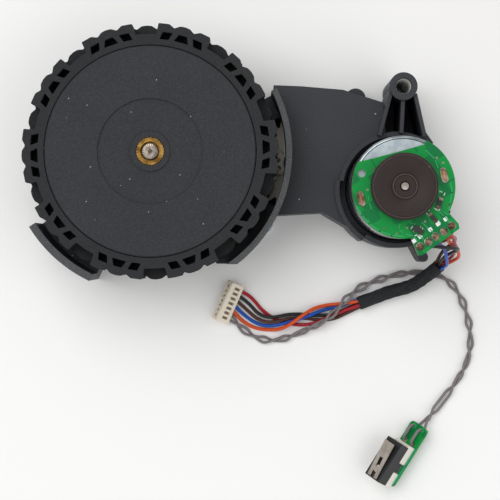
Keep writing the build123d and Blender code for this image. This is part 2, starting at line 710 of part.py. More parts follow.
BRUSH_LOW = CORE_HIGH + 3.2
with BuildPart() as motor_brushes:
    with BuildSketch(at(MOTOR, BRUSH_LOW)):
        with PolarLocations(COMMUTATOR_R + RUNNING + 1.25, 2, start_angle=LINE + 90):
            Rectangle(2.5, 2.2)
    extrude(amount=2.6)
    with BuildSketch(at(MOTOR, BRUSH_LOW + 2.6)):
        with PolarLocations(COMMUTATOR_R + RUNNING + 2.2, 2, start_angle=LINE + 90):
            Rectangle(0.6, 2.2)
    extrude(amount=PLATE_LOW - BRUSH_LOW - 2.6)
save(motor_brushes, "motor_brushes")

BOARD_LOW = CAN_END + BOARD_GAP
BOARD_TOP = BOARD_LOW + BOARD_T
MAGNET_LOW = BOARD_TOP + MAGNET_GAP
MAGNET_HIGH = MAGNET_LOW + MAGNET_T
MAGNET_BOSS = 0.5
PINION_LOW = LAYER_1 - 0.05
PINION_HIGH = MOTOR_SEAT - 2.6

with BuildPart() as motor_shaft:
    with BuildSketch(at(MOTOR, PINION_LOW)):
        Circle(SHAFT_R)
    extrude(amount=MAGNET_HIGH + MAGNET_BOSS - PINION_LOW)
save(motor_shaft, "motor_shaft")

with BuildPart() as motor_pinion:
    with BuildSketch(at(MOTOR, PINION_LOW)):
        gear_sketch(PINION_TEETH, MODULE_1, heading(MOTOR, IDLER_1))
        Circle(SHAFT_R + SEAT_GAP, mode=Mode.SUBTRACT)
    extrude(amount=PINION_HIGH - PINION_LOW)
save(motor_pinion, "motor_pinion")

with BuildPart() as encoder_magnet:
    with BuildSketch(at(MOTOR, MAGNET_LOW)):
        Circle(MAGNET_R)
    extrude(amount=MAGNET_T)
    chamfer(encoder_magnet.edges().group_by(Axis.Z)[-1], 0.35)
    with BuildSketch(at(MOTOR, MAGNET_HIGH)):
        Circle(3.2)
    extrude(amount=MAGNET_BOSS)
    with BuildSketch(at(MOTOR, MAGNET_LOW)):
        Circle(SHAFT_R + SEAT_GAP)
    extrude(amount=MAGNET_T + 2, mode=Mode.SUBTRACT)
save(encoder_magnet, "encoder_magnet")

# Encoder board on the motor's terminals
PADS = [(4.4, -16.0), (6.6, -14.7), (8.6, -13.3), (10.8, -12.0), (12.9, -10.4)]
WIRE_R = 0.5
with BuildPart() as encoder_board:
    with BuildSketch(at(MOTOR, BOARD_LOW)):
        Circle(CAN_R)
        Polygon((1.2, -12.0), (3.9, -18.4), (5.0, -18.3), (14.9, -11.2), (14.7, -9.9), (11.6, -6.4),
                align=None)
        Polygon((-15.0, 6.0), (-7.7, 7.7), (-1.7, 9.3), (5.5, 11.3), (7.2, 15.0), (-15.0, 15.0),
                align=None, mode=Mode.SUBTRACT)
        Circle(4.2, mode=Mode.SUBTRACT)
        with Locations((-11.2, 3.6)):
            Circle(1.07, mode=Mode.SUBTRACT)
        for place in TERMINALS:
            with Locations(place):
                SlotOverall(4.2, 1.9, rotation=90 + TERMINAL_LEAN, mode=Mode.SUBTRACT)
        with Locations(*PADS):
            Circle(WIRE_R + SEAT_GAP, mode=Mode.SUBTRACT)
    extrude(amount=BOARD_T)
save(encoder_board, "encoder_board")

with BuildPart() as motor_terminals:
    with BuildSketch(at(MOTOR, PLATE_LOW - 2)):
        for place in TERMINALS:
            with Locations(place):
                Rectangle(TERMINAL_T, TERMINAL_W, rotation=TERMINAL_LEAN)
    extrude(amount=BOARD_TOP + 0.5 - PLATE_LOW + 2)
save(motor_terminals, "motor_terminals")

with BuildPart() as solder_joints:
    with BuildSketch(at(MOTOR, BOARD_TOP)):
        with Locations(*PADS):
            Circle(0.85)
    extrude(amount=0.5, taper=28)
    with BuildSketch(at(MOTOR, BOARD_LOW + 0.1)):
        for place in TERMINALS:
            with Locations(place):
                SlotOverall(4.16, 1.86, rotation=90 + TERMINAL_LEAN)
    extrude(amount=BOARD_T + 0.2)
    with BuildSketch(at(MOTOR, BOARD_LOW)):
        for place in TERMINALS:
            with Locations(place):
                Rectangle(TERMINAL_T + 0.04, TERMINAL_W + 0.04, rotation=TERMINAL_LEAN)
    extrude(amount=BOARD_T + 2, mode=Mode.SUBTRACT)
save(solder_joints, "solder_joints")

CHIPS = [((9.8, -4.5), 62, 2.0, 1.25), ((7.9, -7.9), 55, 2.0, 1.25), ((10.9, -8.0), 55, 1.6, 0.8)]
with BuildPart() as board_chips:
    for place, lean, long, wide in CHIPS:
        with BuildSketch(at(MOTOR, BOARD_TOP)):
            with Locations(Location(place, lean)):
                Rectangle(long, wide)
        extrude(amount=0.55)
save(board_chips, "board_chips")

with BuildPart() as hall_sensor:
    with BuildSketch(at(MOTOR, BOARD_TOP)):
        with Locations(Location((3.9, -11.6), -33)):
            Rectangle(2.9, 1.5)
    extrude(amount=0.95)
save(hall_sensor, "hall_sensor")


def corner_radii(points):
    """The largest arc that each corner of a route has room for."""
    radii = []
    for before, corner, after in zip(points, points[1:], points[2:]):
        run_in = Vector(*corner) - Vector(*before)
        run_out = Vector(*after) - Vector(*corner)
        turn = radians(run_in.get_angle(run_out))
        radii.append(0.45 * min(run_in.length, run_out.length) / tan(turn / 2))
    return radii


def tube(label, points, outer, inner=0.0):
    """A round tube or rod along straight runs joined by tangent arcs, written as a piece."""
    radii = corner_radii(points)
    with BuildPart() as piece:
        with BuildLine() as route:
            FilletPolyline(*points, radius=radii)
        with BuildSketch(Plane(origin=points[0], z_dir=Vector(*points[1]) - Vector(*points[0]))):
            Circle(outer)
            if inner:
                Circle(inner, mode=Mode.SUBTRACT)
        sweep(path=route.wire())
    ideal = pi * (outer**2 - inner**2) * route.wire().length
    print(label, "length", round(route.wire().length, 1), "least radius", round(min(radii), 1),
          "volume share", round(piece.part.volume / ideal, 4))
    save(piece, label)
    return piece


# Plug of the harness: seven ways at 1.5 mm, lying nose up on the table
PLUG_AT = (-49.1, -60.7, 2.56)
PLUG_HEADING = -113.6
PLUG_TILT = 33
PLUG_LONG, PLUG_DEEP, PLUG_HIGH = 12.0, 4.4, 3.2
PLUG_WAYS = 7
PLUG_PITCH = 1.5
PLUG_ALONG = Vector(cos(radians(PLUG_HEADING)), sin(radians(PLUG_HEADING)), 0)
PLUG_EXIT = PLUG_ALONG.rotate(Axis.Z, 90)
PLUG_UP = Vector(0, 0, 1) * cos(radians(PLUG_TILT)) + PLUG_EXIT * sin(radians(PLUG_TILT))
plug_plane = Plane(origin=PLUG_AT, x_dir=PLUG_ALONG, z_dir=PLUG_UP)

with BuildPart() as plug_housing:
    with BuildSketch(plug_plane.offset(-PLUG_HIGH / 2)):
        Rectangle(PLUG_LONG, PLUG_DEEP)
    extrude(amount=PLUG_HIGH)
    chamfer(plug_housing.edges(), 0.2)
    # Contact channels from end to end, and the latch windows above them
    front = Plane(origin=plug_plane.from_local_coords((0, -PLUG_DEEP / 2, 0)),
                  x_dir=PLUG_ALONG, z_dir=plug_plane.y_dir)
    with BuildSketch(front):
        with GridLocations(PLUG_PITCH, 1, PLUG_WAYS, 1):
            Circle(0.53)
    extrude(amount=PLUG_DEEP, mode=Mode.SUBTRACT)
    with BuildSketch(plug_plane.offset(0.8)):
        with Locations((0, 0.2)):
            with GridLocations(PLUG_PITCH, 1, PLUG_WAYS, 1):
                Rectangle(0.8, 1.9)
    extrude(amount=PLUG_HIGH, mode=Mode.SUBTRACT)
save(plug_housing, "plug_housing")

with BuildPart() as plug_contacts:
    with BuildSketch(front.offset(0.3)):
        with GridLocations(PLUG_PITCH, 1, PLUG_WAYS, 1):
            Circle(0.48)
            Circle(0.3, mode=Mode.SUBTRACT)
    extrude(amount=PLUG_DEEP - 1.6)
save(plug_contacts, "plug_contacts")


def plug_exit(way):
    """Where the wire of a way leaves the plug, counted from the pivot's side."""
    x = (way - (PLUG_WAYS - 1) / 2) * PLUG_PITCH
    return tuple(plug_plane.from_local_coords((x, PLUG_DEEP / 2, 0)))


# Sleeve round the five wires, from the table up to the motor's foot
SLEEVE_R, SLEEVE_BORE_R = 2.0, 1.75
SLEEVE = [
    (-11.0, -61.1, 2.05),
    (-7.1, -59.6, 2.05),
    (-3.3, -58.1, 2.15),
    (0.1, -57.3, 2.5),
    (3.3, -56.3, 3.3),
    (6.1, -54.8, 4.3),
    (8.4, -53.2, 5.4),
    (10.3, -51.6, 6.7),
    (11.9, -49.9, 8.2),
]
SLEEVE_TWIST = 180
RISE = [(13.7, -47.9, 12.4), (14.6, -46.3, 18.6)]
RISE_FRONT = Vector(0.69, 0.72, 0).normalized()


def in_sleeve(across, up):
    """The sleeve's route moved to one wire's place in the slowly turning bundle."""
    route = []
    for number, point in enumerate(SLEEVE):
        before, after = SLEEVE[max(number - 1, 0)], SLEEVE[min(number + 1, len(SLEEVE) - 1)]
        along = (Vector(*after) - Vector(*before)).normalized()
        side = Vector(0, 0, 1).cross(along).normalized()
        over = along.cross(side)
        turn = radians(SLEEVE_TWIST * number / (len(SLEEVE) - 1))
        shift = (side * (across * cos(turn) - up * sin(turn))
                 + over * (across * sin(turn) + up * cos(turn)))
        route.append(tuple(Vector(*point) + shift))
    return route


def rising(places):
    """Points above the sleeve, each at a wire's own (side, front) place in the bundle."""
    side = Vector(0, 0, 1).cross(RISE_FRONT)
    return [tuple(Vector(*centre) + side * across + RISE_FRONT * front)
            for centre, (across, front) in zip(RISE, places)]


WIRES = {
    "wire_red": (
        [plug_exit(0), (-43.5, -58.4, 0.7), (-41.3, -60.4, 0.55), (-39.3, -63.0, 0.55),
         (-36.2, -65.3, 0.55), (-32.4, -66.9, 0.55), (-28.0, -67.5, 0.55), (-24.4, -67.1, 1.2),
         (-21.2, -65.7, 1.75), (-18.0, -64.2, 1.95), (-14.6, -62.9, 2.2)],
        in_sleeve(-0.56, 0.55),
        rising([(0.56, 0.55), (0.0, 1.3)]) + [(12.4, -43.4, 28.5), (9.9, -41.4, 37.5)],
    ),
    "wire_black": (
        [plug_exit(1), (-44.2, -60.1, 0.7), (-42.3, -61.9, 0.55), (-40.5, -64.0, 0.75),
         (-37.9, -65.2, 1.75), (-34.8, -65.0, 1.75), (-31.5, -64.3, 0.7), (-27.6, -64.2, 0.55),
         (-23.4, -64.7, 0.55), (-19.2, -64.5, 0.55), (-15.2, -63.1, 0.9)],
        in_sleeve(0.0, -0.45),
        rising([(0.0, -0.6), (0.0, -2.6)]) + [(6.2, -45.8, 28.0), (3.3, -44.9, 37.0)],
    ),
    "wire_brown": (
        [plug_exit(2), (-45.0, -61.7, 0.7), (-43.2, -63.4, 0.55), (-41.0, -65.4, 0.75),
         (-38.1, -66.6, 1.75), (-35.0, -66.4, 1.85), (-32.4, -65.7, 1.55), (-29.6, -65.3, 0.75),
         (-26.0, -65.5, 0.55), (-22.2, -66.0, 0.55), (-18.2, -65.8, 0.55), (-14.4, -63.9, 1.1)],
        in_sleeve(-1.08, -0.45),
        rising([(1.12, -0.5), (0.6, 0.0)]) + [(10.1, -44.9, 28.4), (7.6, -42.8, 37.3)],
    ),
    "wire_blue": (
        [plug_exit(3), (-45.7, -63.3, 0.7), (-43.8, -65.0, 0.55), (-41.2, -66.8, 0.7),
         (-38.0, -67.8, 1.0), (-34.4, -67.4, 1.7), (-31.0, -66.5, 1.85), (-28.0, -65.6, 1.85),
         (-25.0, -64.5, 1.8), (-21.8, -63.2, 1.2), (-18.2, -62.3, 0.55), (-14.6, -61.3, 0.8)],
        in_sleeve(1.08, -0.45),
        rising([(-1.12, -0.5), (-0.6, -1.3)]) + [(8.2, -45.5, 28.2), (5.6, -43.6, 37.2)],
    ),
    "wire_orange": (
        [plug_exit(4), (-46.2, -65.0, 0.7), (-44.2, -66.8, 0.55), (-41.2, -68.4, 0.55),
         (-37.4, -68.9, 0.7), (-33.8, -68.7, 1.6), (-30.8, -67.1, 2.95), (-27.6, -64.7, 2.95),
         (-24.2, -62.5, 1.7), (-20.4, -61.6, 0.7), (-16.4, -61.2, 1.5)],
        in_sleeve(0.56, 0.55),
        rising([(-0.56, 0.6), (-0.8, 2.6)]) + [(14.8, -42.4, 28.6), (12.0, -40.0, 38.0)],
    ),
}
for (label, (table_run, sleeve_run, rise)), pad in zip(WIRES.items(), (3, 0, 2, 1, 4)):
    pad_x, pad_y = PADS[pad][0] + MOTOR_X, PADS[pad][1] + MOTOR_Y
    ends = [(pad_x, pad_y, BOARD_LOW - 3), (pad_x, pad_y, BOARD_LOW)]
    tube(label, table_run + sleeve_run + rise + ends, WIRE_R)
tube("wire_sleeve", SLEEVE, SLEEVE_R, SLEEVE_BORE_R)

# Twisted pair to the microswitch, as one round cord
PAIR_R = 0.85
PAIR_CLEAR = 0.6
PAIR = [
    tuple((Vector(*plug_exit(5)) + Vector(*plug_exit(6))) / 2 + PLUG_EXIT * PAIR_CLEAR),
    (-46.4, -67.2, 1.0), (-43.6, -69.6, 0.9), (-40.3, -71.4, 0.9), (-36.5, -72.1, 0.9),
    (-32.8, -71.5, 0.9), (-29.3, -70.2, 0.9), (-25.9, -68.8, 1.5), (-22.6, -67.2, 2.9),
    (-19.5, -65.0, 3.5), (-16.9, -62.4, 3.5), (-14.6, -59.7, 3.05), (-12.0, -57.4, 1.3),
    (-8.8, -55.6, 0.9), (-5.0, -54.1, 0.9), (-0.9, -52.9, 0.9), (3.4, -52.1, 0.9),
    (7.6, -52.0, 0.9), (11.6, -52.5, 0.9), (15.1, -54.2, 0.9), (17.8, -57.2, 0.9),
    (19.8, -61.2, 0.9), (21.2, -65.9, 0.9), (21.9, -71.0, 0.9), (21.5, -76.2, 0.9),
    (19.6, -81.0, 0.9), (16.8, -85.2, 0.9), (13.9, -89.0, 0.9), (11.2, -92.4, 1.3),
]

# Microswitch on its small board, leaning on the board's long edge
SWITCH_AT = (1.6, -104.7, 2.96)
SWITCH_HEADING = -122
SWITCH_LEAN = 42
SWITCH_ALONG = Vector(cos(radians(SWITCH_HEADING)), sin(radians(SWITCH_HEADING)), 0)
SWITCH_SIDE = SWITCH_ALONG.rotate(Axis.Z, 90)
SWITCH_UP = Vector(0, 0, 1) * cos(radians(SWITCH_LEAN)) - SWITCH_SIDE * sin(radians(SWITCH_LEAN))
switch_plane = Plane(origin=SWITCH_AT, x_dir=SWITCH_ALONG, z_dir=SWITCH_UP)
SWITCH_BOARD_L, SWITCH_BOARD_W = 19.6, 6.6
CASE_L, CASE_W, CASE_H = 12.8, 5.8, 5.5
CASE_MID = 4.0
BASE_T = 0.9
CASE_TOP = BASE_T + CASE_H
LEAD_R = 0.42
STRAIN_X, LAND_X, LEAD_Y = -8.6, -3.9, 1.55
TERMINAL_PINS = (-5.0, 0.0, 5.0)

with BuildPart() as switch_board:
    with BuildSketch(switch_plane.offset(-BOARD_T)):
        RectangleRounded(SWITCH_BOARD_L, SWITCH_BOARD_W, 0.5)
        with Locations((STRAIN_X, LEAD_Y), (STRAIN_X, -LEAD_Y), (LAND_X, LEAD_Y), (LAND_X, -LEAD_Y)):
            Circle(LEAD_R + SEAT_GAP, mode=Mode.SUBTRACT)
        with Locations((CASE_MID, 0)):
            with Locations(*[(x, 0) for x in TERMINAL_PINS]):
                Rectangle(1.24, 0.64, mode=Mode.SUBTRACT)
    extrude(amount=BOARD_T)
save(switch_board, "switch_board")

with BuildPart() as switch_base:
    with BuildSketch(switch_plane):
        with Locations((CASE_MID, 0)):
            Rectangle(CASE_L, CASE_W)
            with Locations(*[(x, 0) for x in TERMINAL_PINS]):
                Rectangle(1.24, 0.64, mode=Mode.SUBTRACT)
    extrude(amount=BASE_T)
save(switch_base, "switch_base")

BUTTON_X = 7.3
BUTTON_L, BUTTON_W = 2.4, 1.5
BUTTON_ROOM = 0.1
PIVOT_X, PIVOT_Z = 9.5, 5.5
LEVER_REST = 8.0
LEVER_T = 0.3
LEVER_LIFT = 1.05
LEVER_L = 12.4
LEVER_W = 4.6
EAR_GAP = 0.1
TRUNNION_R = 0.45

with BuildPart() as switch_case:
    with BuildSketch(switch_plane.offset(BASE_T)):
        with Locations((CASE_MID, 0)):
            RectangleRounded(CASE_L, CASE_W, 0.4)
    extrude(amount=CASE_H)
    with BuildSketch(Plane(origin=switch_plane.from_local_coords((PIVOT_X, 0, PIVOT_Z)),
                           x_dir=switch_plane.x_dir, z_dir=switch_plane.y_dir)):
        Circle(TRUNNION_R)
    extrude(amount=CASE_W / 2 + EAR_GAP + LEVER_T, both=True)
    # The button's guide and the room below it, and the blind terminal slots
    with BuildSketch(switch_plane.offset(BASE_T + 1.6)):
        with Locations((BUTTON_X, 0)):
            Rectangle(BUTTON_L + 2 * BUTTON_ROOM, BUTTON_W + 2 * BUTTON_ROOM)
    extrude(amount=CASE_H, mode=Mode.SUBTRACT)
    with BuildSketch(switch_plane.offset(BASE_T)):
        with Locations((CASE_MID, 0)):
            with Locations(*[(x, 0) for x in TERMINAL_PINS]):
                Rectangle(1.24, 0.64)
    extrude(amount=1.2, mode=Mode.SUBTRACT)
save(switch_case, "switch_case")

with BuildPart() as switch_terminals:
    with BuildSketch(switch_plane.offset(-BOARD_T - 0.6)):
        with Locations((CASE_MID, 0)):
            with Locations(*[(x, 0) for x in TERMINAL_PINS]):
                Rectangle(1.2, 0.6)
    extrude(amount=BOARD_T + 0.6 + BASE_T + 1.1)
save(switch_terminals, "switch_terminals")

pivot_point = switch_plane.from_local_coords((PIVOT_X, 0, PIVOT_Z))
LEVER_ALONG = (-SWITCH_ALONG * cos(radians(LEVER_REST)) + SWITCH_UP * sin(radians(LEVER_REST)))
LEVER_UP = SWITCH_UP * cos(radians(LEVER_REST)) + SWITCH_ALONG * sin(radians(LEVER_REST))
lever_plane = Plane(origin=pivot_point, x_dir=LEVER_ALONG, z_dir=LEVER_UP)
EAR_IN = CASE_W / 2 + EAR_GAP

with BuildPart() as switch_lever:
    with BuildSketch(lever_plane.offset(LEVER_LIFT)):
        with Locations((LEVER_L / 2, 0)):
            Rectangle(LEVER_L, LEVER_W)
        with Locations((0.3, 0)):
            Rectangle(1.8, 2 * (EAR_IN + LEVER_T))
        with Locations((3.2, 0)):
            SlotOverall(3.6, 0.9, mode=Mode.SUBTRACT)
    extrude(amount=LEVER_T)
    with BuildSketch(lever_plane.offset(-0.75)):
        for side in (1, -1):
            with Locations((0.3, side * (EAR_IN + LEVER_T / 2))):
                Rectangle(1.8, LEVER_T)
    extrude(amount=LEVER_LIFT + 0.75)
    with BuildSketch(Plane(origin=pivot_point, x_dir=LEVER_ALONG, z_dir=switch_plane.y_dir)):
        Circle(TRUNNION_R + RUNNING)
    extrude(amount=CASE_W, both=True, mode=Mode.SUBTRACT)
save(switch_lever, "switch_lever")

# The button's round head stands just under the lever
BUTTON_R = BUTTON_L / 2
BUTTON_LOW = BASE_T + 2.4
DOME_Z = PIVOT_Z + (LEVER_LIFT - BUTTON_R - RUNNING
                    + (PIVOT_X - BUTTON_X) * sin(radians(LEVER_REST))) / cos(radians(LEVER_REST))
with BuildPart() as switch_button:
    with BuildSketch(Plane(origin=switch_plane.from_local_coords((BUTTON_X, 0, 0)),
                           x_dir=switch_plane.x_dir, z_dir=-switch_plane.y_dir)):
        with Locations((0, DOME_Z)):
            Circle(BUTTON_R)
        with Locations((0, (DOME_Z + BUTTON_LOW) / 2)):
            Rectangle(BUTTON_L, DOME_Z - BUTTON_LOW)
    extrude(amount=BUTTON_W / 2, both=True)
save(switch_button, "switch_button")

# The pair's two leads come up through the board and down to their lands
LEAD_TAIL = (-11.6, -BOARD_T - LEAD_R - 0.1)
PAIR_END = tuple(switch_plane.from_local_coords((LEAD_TAIL[0] - PAIR_CLEAR, 0, LEAD_TAIL[1])))
tube("wire_pair", PAIR + [PAIR_END], PAIR_R)
with BuildPart() as switch_leads:
    for side in (1, -1):
        corners = [
            (LEAD_TAIL[0], side * 0.45, LEAD_TAIL[1]),
            (STRAIN_X, side * LEAD_Y, LEAD_TAIL[1]),
            (STRAIN_X, side * LEAD_Y, 1.5),
            (LAND_X, side * LEAD_Y, 1.5),
            (LAND_X, side * LEAD_Y, -BOARD_T),
        ]
        path_points = [switch_plane.from_local_coords(corner) for corner in corners]
        with BuildLine() as lead_path:
            FilletPolyline(*path_points, radius=[0.6, 1.1, 1.1])
        with BuildSketch(Plane(origin=path_points[0], z_dir=path_points[1] - path_points[0])):
            Circle(LEAD_R)
        sweep(path=lead_path.wire())
save(switch_leads, "switch_leads")

# Figures that the joints are stated with, in metres
print("switch pivot", [round(v / 1000, 6) for v in pivot_point])
print("switch side axis", [round(v, 6) for v in switch_plane.y_dir])
print("switch up axis", [round(v, 6) for v in SWITCH_UP])
print("idlers", [[round(v / 1000, 6) for v in place] for place in (IDLER_1, IDLER_2, IDLER_3)])
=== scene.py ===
import bmesh
import bpy
import math
from mathutils import Matrix, Vector
from mathutils.geometry import tessellate_polygon


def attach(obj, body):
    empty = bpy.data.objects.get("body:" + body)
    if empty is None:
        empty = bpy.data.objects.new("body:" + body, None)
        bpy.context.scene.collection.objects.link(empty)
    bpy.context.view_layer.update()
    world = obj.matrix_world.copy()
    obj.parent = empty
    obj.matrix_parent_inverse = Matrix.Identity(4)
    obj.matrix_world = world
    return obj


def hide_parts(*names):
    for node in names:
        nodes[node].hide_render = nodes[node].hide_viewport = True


# Looks of a robot vacuum's drive wheel module, dressed over its solids.
# Sizes are in millimetres and turned to metres by MM, in the frame of the solids.

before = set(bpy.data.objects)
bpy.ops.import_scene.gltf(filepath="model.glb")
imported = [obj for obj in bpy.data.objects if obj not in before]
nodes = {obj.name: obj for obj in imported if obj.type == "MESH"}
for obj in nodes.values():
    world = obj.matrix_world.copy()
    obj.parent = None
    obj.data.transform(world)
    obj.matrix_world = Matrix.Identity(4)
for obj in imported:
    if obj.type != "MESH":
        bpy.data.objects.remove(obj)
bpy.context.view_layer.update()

MM = 0.001
ORIGIN, EAST, NORTH, UP = Vector((0, 0, 0)), Vector((1, 0, 0)), Vector((0, 1, 0)), Vector((0, 0, 1))
# Where the wheel's axle and the motor's shaft stand
WHEEL = Vector((-70.0, -18.5, 0.0))
MOTOR = Vector((-1.6, -28.6, 0.0))


# ---------------------------------------------------------------- helpers for materials

def paint(code):
    """A linear colour from an sRGB hex value."""
    parts = [int(code[i:i + 2], 16) / 255 for i in (1, 3, 5)]
    return tuple(p / 12.92 if p <= 0.04045 else ((p + 0.055) / 1.055) ** 2.4 for p in parts) + (1.0,)


def shade(colour, share):
    """A linear colour times a share."""
    return tuple(c * share for c in colour[:3]) + (1,)


def fill(tree, node, **inputs):
    """Sets a node's inputs to values or links. An input named i2 is the third socket."""
    for name, value in inputs.items():
        numbered = name[0] == "i" and name[1:].isdigit()
        socket = node.inputs[int(name[1:]) if numbered else name.replace("_", " ")]
        if isinstance(value, bpy.types.NodeSocket):
            tree.links.new(value, socket)
        else:
            socket.default_value = value


def add(tree, kind, settings=None, **inputs):
    """A new node with its settings and its inputs."""
    node = tree.nodes.new(kind)
    for name, value in (settings or {}).items():
        setattr(node, name, value)
    fill(tree, node, **inputs)
    return node


def calc(tree, operation, *values):
    """The result of one step of arithmetic."""
    sockets = {f"i{number}": value for number, value in enumerate(values)}
    return add(tree, "ShaderNodeMath", {"operation": operation}, **sockets).outputs[0]


def reach(tree, vector, way):
    """How far a vector reaches in a direction."""
    return add(tree, "ShaderNodeVectorMath", {"operation": "DOT_PRODUCT"}, i0=vector,
               i1=tuple(way)).outputs["Value"]


def mix(tree, factor, low, high, blend="MIX"):
    """The colour that lies between two."""
    return add(tree, "ShaderNodeMix", {"data_type": "RGBA", "blend_type": blend}, Factor=factor, i6=low,
               i7=high).outputs["Result"]


def noise(tree, place, scale, detail, roughness=0.5):
    """An even random field, from 0 to 1."""
    return add(tree, "ShaderNodeTexNoise", Vector=place, Scale=scale, Detail=detail,
               Roughness=roughness).outputs["Fac"]


def spread(tree, value, low, high):
    """A value from 0 to 1, spread from low to high."""
    return add(tree, "ShaderNodeMapRange", Value=value, To_Min=low, To_Max=high).outputs["Result"]


def rise_between(tree, value, low, high):
    """A soft step from 0 at low to 1 at high."""
    return add(tree, "ShaderNodeMapRange", {"interpolation_type": "SMOOTHSTEP"}, Value=value, From_Min=low,
               From_Max=high).outputs["Result"]


def fall_between(tree, value, low, high):
    """A soft step from 1 at low to 0 at high."""
    return rise_between(tree, calc(tree, "MULTIPLY", value, -1.0), -high, -low)


def soft_edges(tree, radius):
    """A surface normal that rounds the edges by a radius in mm."""
    return add(tree, "ShaderNodeBevel", {"samples": 4}, Radius=radius * MM).outputs["Normal"]


def relief(tree, height, strength, depth, sunk=False, **under):
    """A surface normal raised, or sunk, by a height of up to a depth in mm."""
    return add(tree, "ShaderNodeBump", {"invert": sunk}, Height=height, Strength=strength,
               Distance=depth * MM, **under).outputs["Normal"]


def new_material(name):
    """An empty material's tree, its surface shader and the object's coordinates."""
    material = bpy.data.materials.new(name)
    material.use_nodes = True
    tree = material.node_tree
    return material, tree, tree.nodes["Principled BSDF"], add(tree, "ShaderNodeTexCoord").outputs["Object"]


# ---------------------------------------------------------------- helpers for shapes

def put(name, data):
    """A new object in the scene."""
    item = bpy.data.objects.new(name, data)
    bpy.context.scene.collection.objects.link(item)
    return item


def mesh_object(name, mesh, material, body):
    """A finished piece in its material, riding its body."""
    piece = put(name, mesh)
    mesh.materials.clear()
    mesh.materials.append(material)
    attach(piece, body)
    return piece


def smooth(mesh, angle=35):
    """Smooth shading, with edges past the angle kept sharp."""
    mesh.shade_smooth()
    mesh.set_sharp_from_angle(angle=math.radians(angle))


def finish_mesh(name, work, angle=35):
    """The mesh of a finished work, shaded smooth but for its edges."""
    mesh = bpy.data.meshes.new(name)
    work.to_mesh(mesh)
    work.free()
    smooth(mesh, angle)
    return mesh


def plate_piece(name, work, material, body):
    """A piece made of the plates in a work."""
    return mesh_object(name, finish_mesh(name, work), material, body)


def polar(radius, angle):
    """A place at a radius and an angle in degrees."""
    return Vector((radius * math.cos(math.radians(angle)), radius * math.sin(math.radians(angle)), 0))


def rounded(points, radius, steps=3):
    """A closed outline with its corners rounded."""
    out = []
    for i, corner in enumerate(points):
        before, after = points[i - 1], points[(i + 1) % len(points)]
        cut = min(radius, (before - corner).length * 0.45, (after - corner).length * 0.45)
        start = corner + (before - corner).normalized() * cut
        end = corner + (after - corner).normalized() * cut
        for s in range(steps + 1):
            t = s / steps
            out.append(start * (1 - t) ** 2 + corner * 2 * t * (1 - t) + end * t * t)
    return out


def lathe(name, profile, centre, segments=128):
    """A turned mesh about an upright axis. Its profile of radii and heights closes on the axis or on
    itself."""
    work = bmesh.new()
    rings = []
    for radius, height in profile:
        angles = [360 * k / segments for k in range(segments)] if radius else [0]
        spots = [centre + polar(radius, angle) for angle in angles]
        rings.append([work.verts.new((spot.x * MM, spot.y * MM, height * MM)) for spot in spots])
    pairs = list(zip(rings, rings[1:]))
    if profile[0][0] and profile[-1][0]:
        pairs.append((rings[-1], rings[0]))
    for low, high in pairs:
        for k in range(segments):
            corners = [ring[n % len(ring)] for ring, n in ((low, k), (low, k + 1), (high, k + 1), (high, k))]
            unique = list(dict.fromkeys(corners))
            if len(unique) > 2:
                work.faces.new(unique)
    bmesh.ops.recalc_face_normals(work, faces=work.faces)
    return finish_mesh(name, work)


def prism(work, loops, low, high, plane):
    """Adds a flat plate to a work: an outline and its holes, in mm, between two heights of a plane."""
    origin, across, along, up = plane
    stores = [[[work.verts.new((origin + across * p.x + along * p.y + up * height) * MM) for p in loop]
               for loop in loops] for height in (low, high)]
    made = []
    for store in stores:
        corners = [v for loop in store for v in loop]
        made += [work.faces.new([corners[n] for n in three]) for three in tessellate_polygon(loops)]
    for under, over in zip(*stores):
        made += [work.faces.new((under[k - 1], under[k], over[k], over[k - 1])) for k in range(len(under))]
    bmesh.ops.recalc_face_normals(work, faces=made)


def box_loop(left, right, low, high, corner=0.0):
    """A rectangle's outline, with rounded corners if wanted."""
    points = [Vector((x, y, 0)) for x, y in ((left, low), (right, low), (right, high), (left, high))]
    return rounded(points, corner, 5) if corner else points


def tilted_box(place, length, width, lean):
    """A rectangle's outline about a place, its length at an angle."""
    way, side = polar(length / 2, lean), polar(width / 2, lean + 90)
    middle = Vector((place[0], place[1], 0))
    return [middle - way - side, middle + way - side, middle + way + side, middle - way + side]


def round_loop(place, radius, count=24):
    """A circle's outline."""
    return [Vector((place[0], place[1], 0)) + polar(radius, 360 * k / count) for k in range(count)]


def ring_loops(place, outer, inner, count):
    """The two outlines of a flat ring."""
    return [round_loop(place, outer, count), round_loop(place, inner, count)]


# ---------------------------------------------------------------- camera, light and table

camera = put("camera", bpy.data.cameras.new("camera"))
camera.location = Vector((-42.67, -45.5, 520.0)) * MM
camera.data.sensor_width = 36
camera.data.lens = 127.8
camera.data.clip_start = 0.01
bpy.context.scene.camera = camera

bpy.context.scene.view_settings.view_transform = "Standard"

# A pale room that shows a little brighter to the camera and in reflections than it lights
world = bpy.data.worlds.new("studio")
bpy.context.scene.world = world
world.use_nodes = True
sky = world.node_tree
rays = add(sky, "ShaderNodeLightPath").outputs
seen = calc(sky, "MAXIMUM", rays["Is Camera Ray"], rays["Is Glossy Ray"])
fill(sky, sky.nodes["Background"], Color=paint("#f4f4f2"), Strength=spread(sky, seen, 0.67, 0.83))

# The middle of what is lit
MODULE_MIDDLE = Vector((-42, -45, 0))


def softbox(name, place, size, power):
    """A rectangular lamp at a place in mm, its size in metres, turned to the module."""
    lamp = put(name, bpy.data.lights.new(name, "AREA"))
    lamp.data.shape = "RECTANGLE"
    lamp.data.size, lamp.data.size_y = size
    lamp.data.energy = power
    lamp.location = Vector(place) * MM
    lamp.rotation_euler = (MODULE_MIDDLE * MM - lamp.location).to_track_quat("-Z", "Y").to_euler()


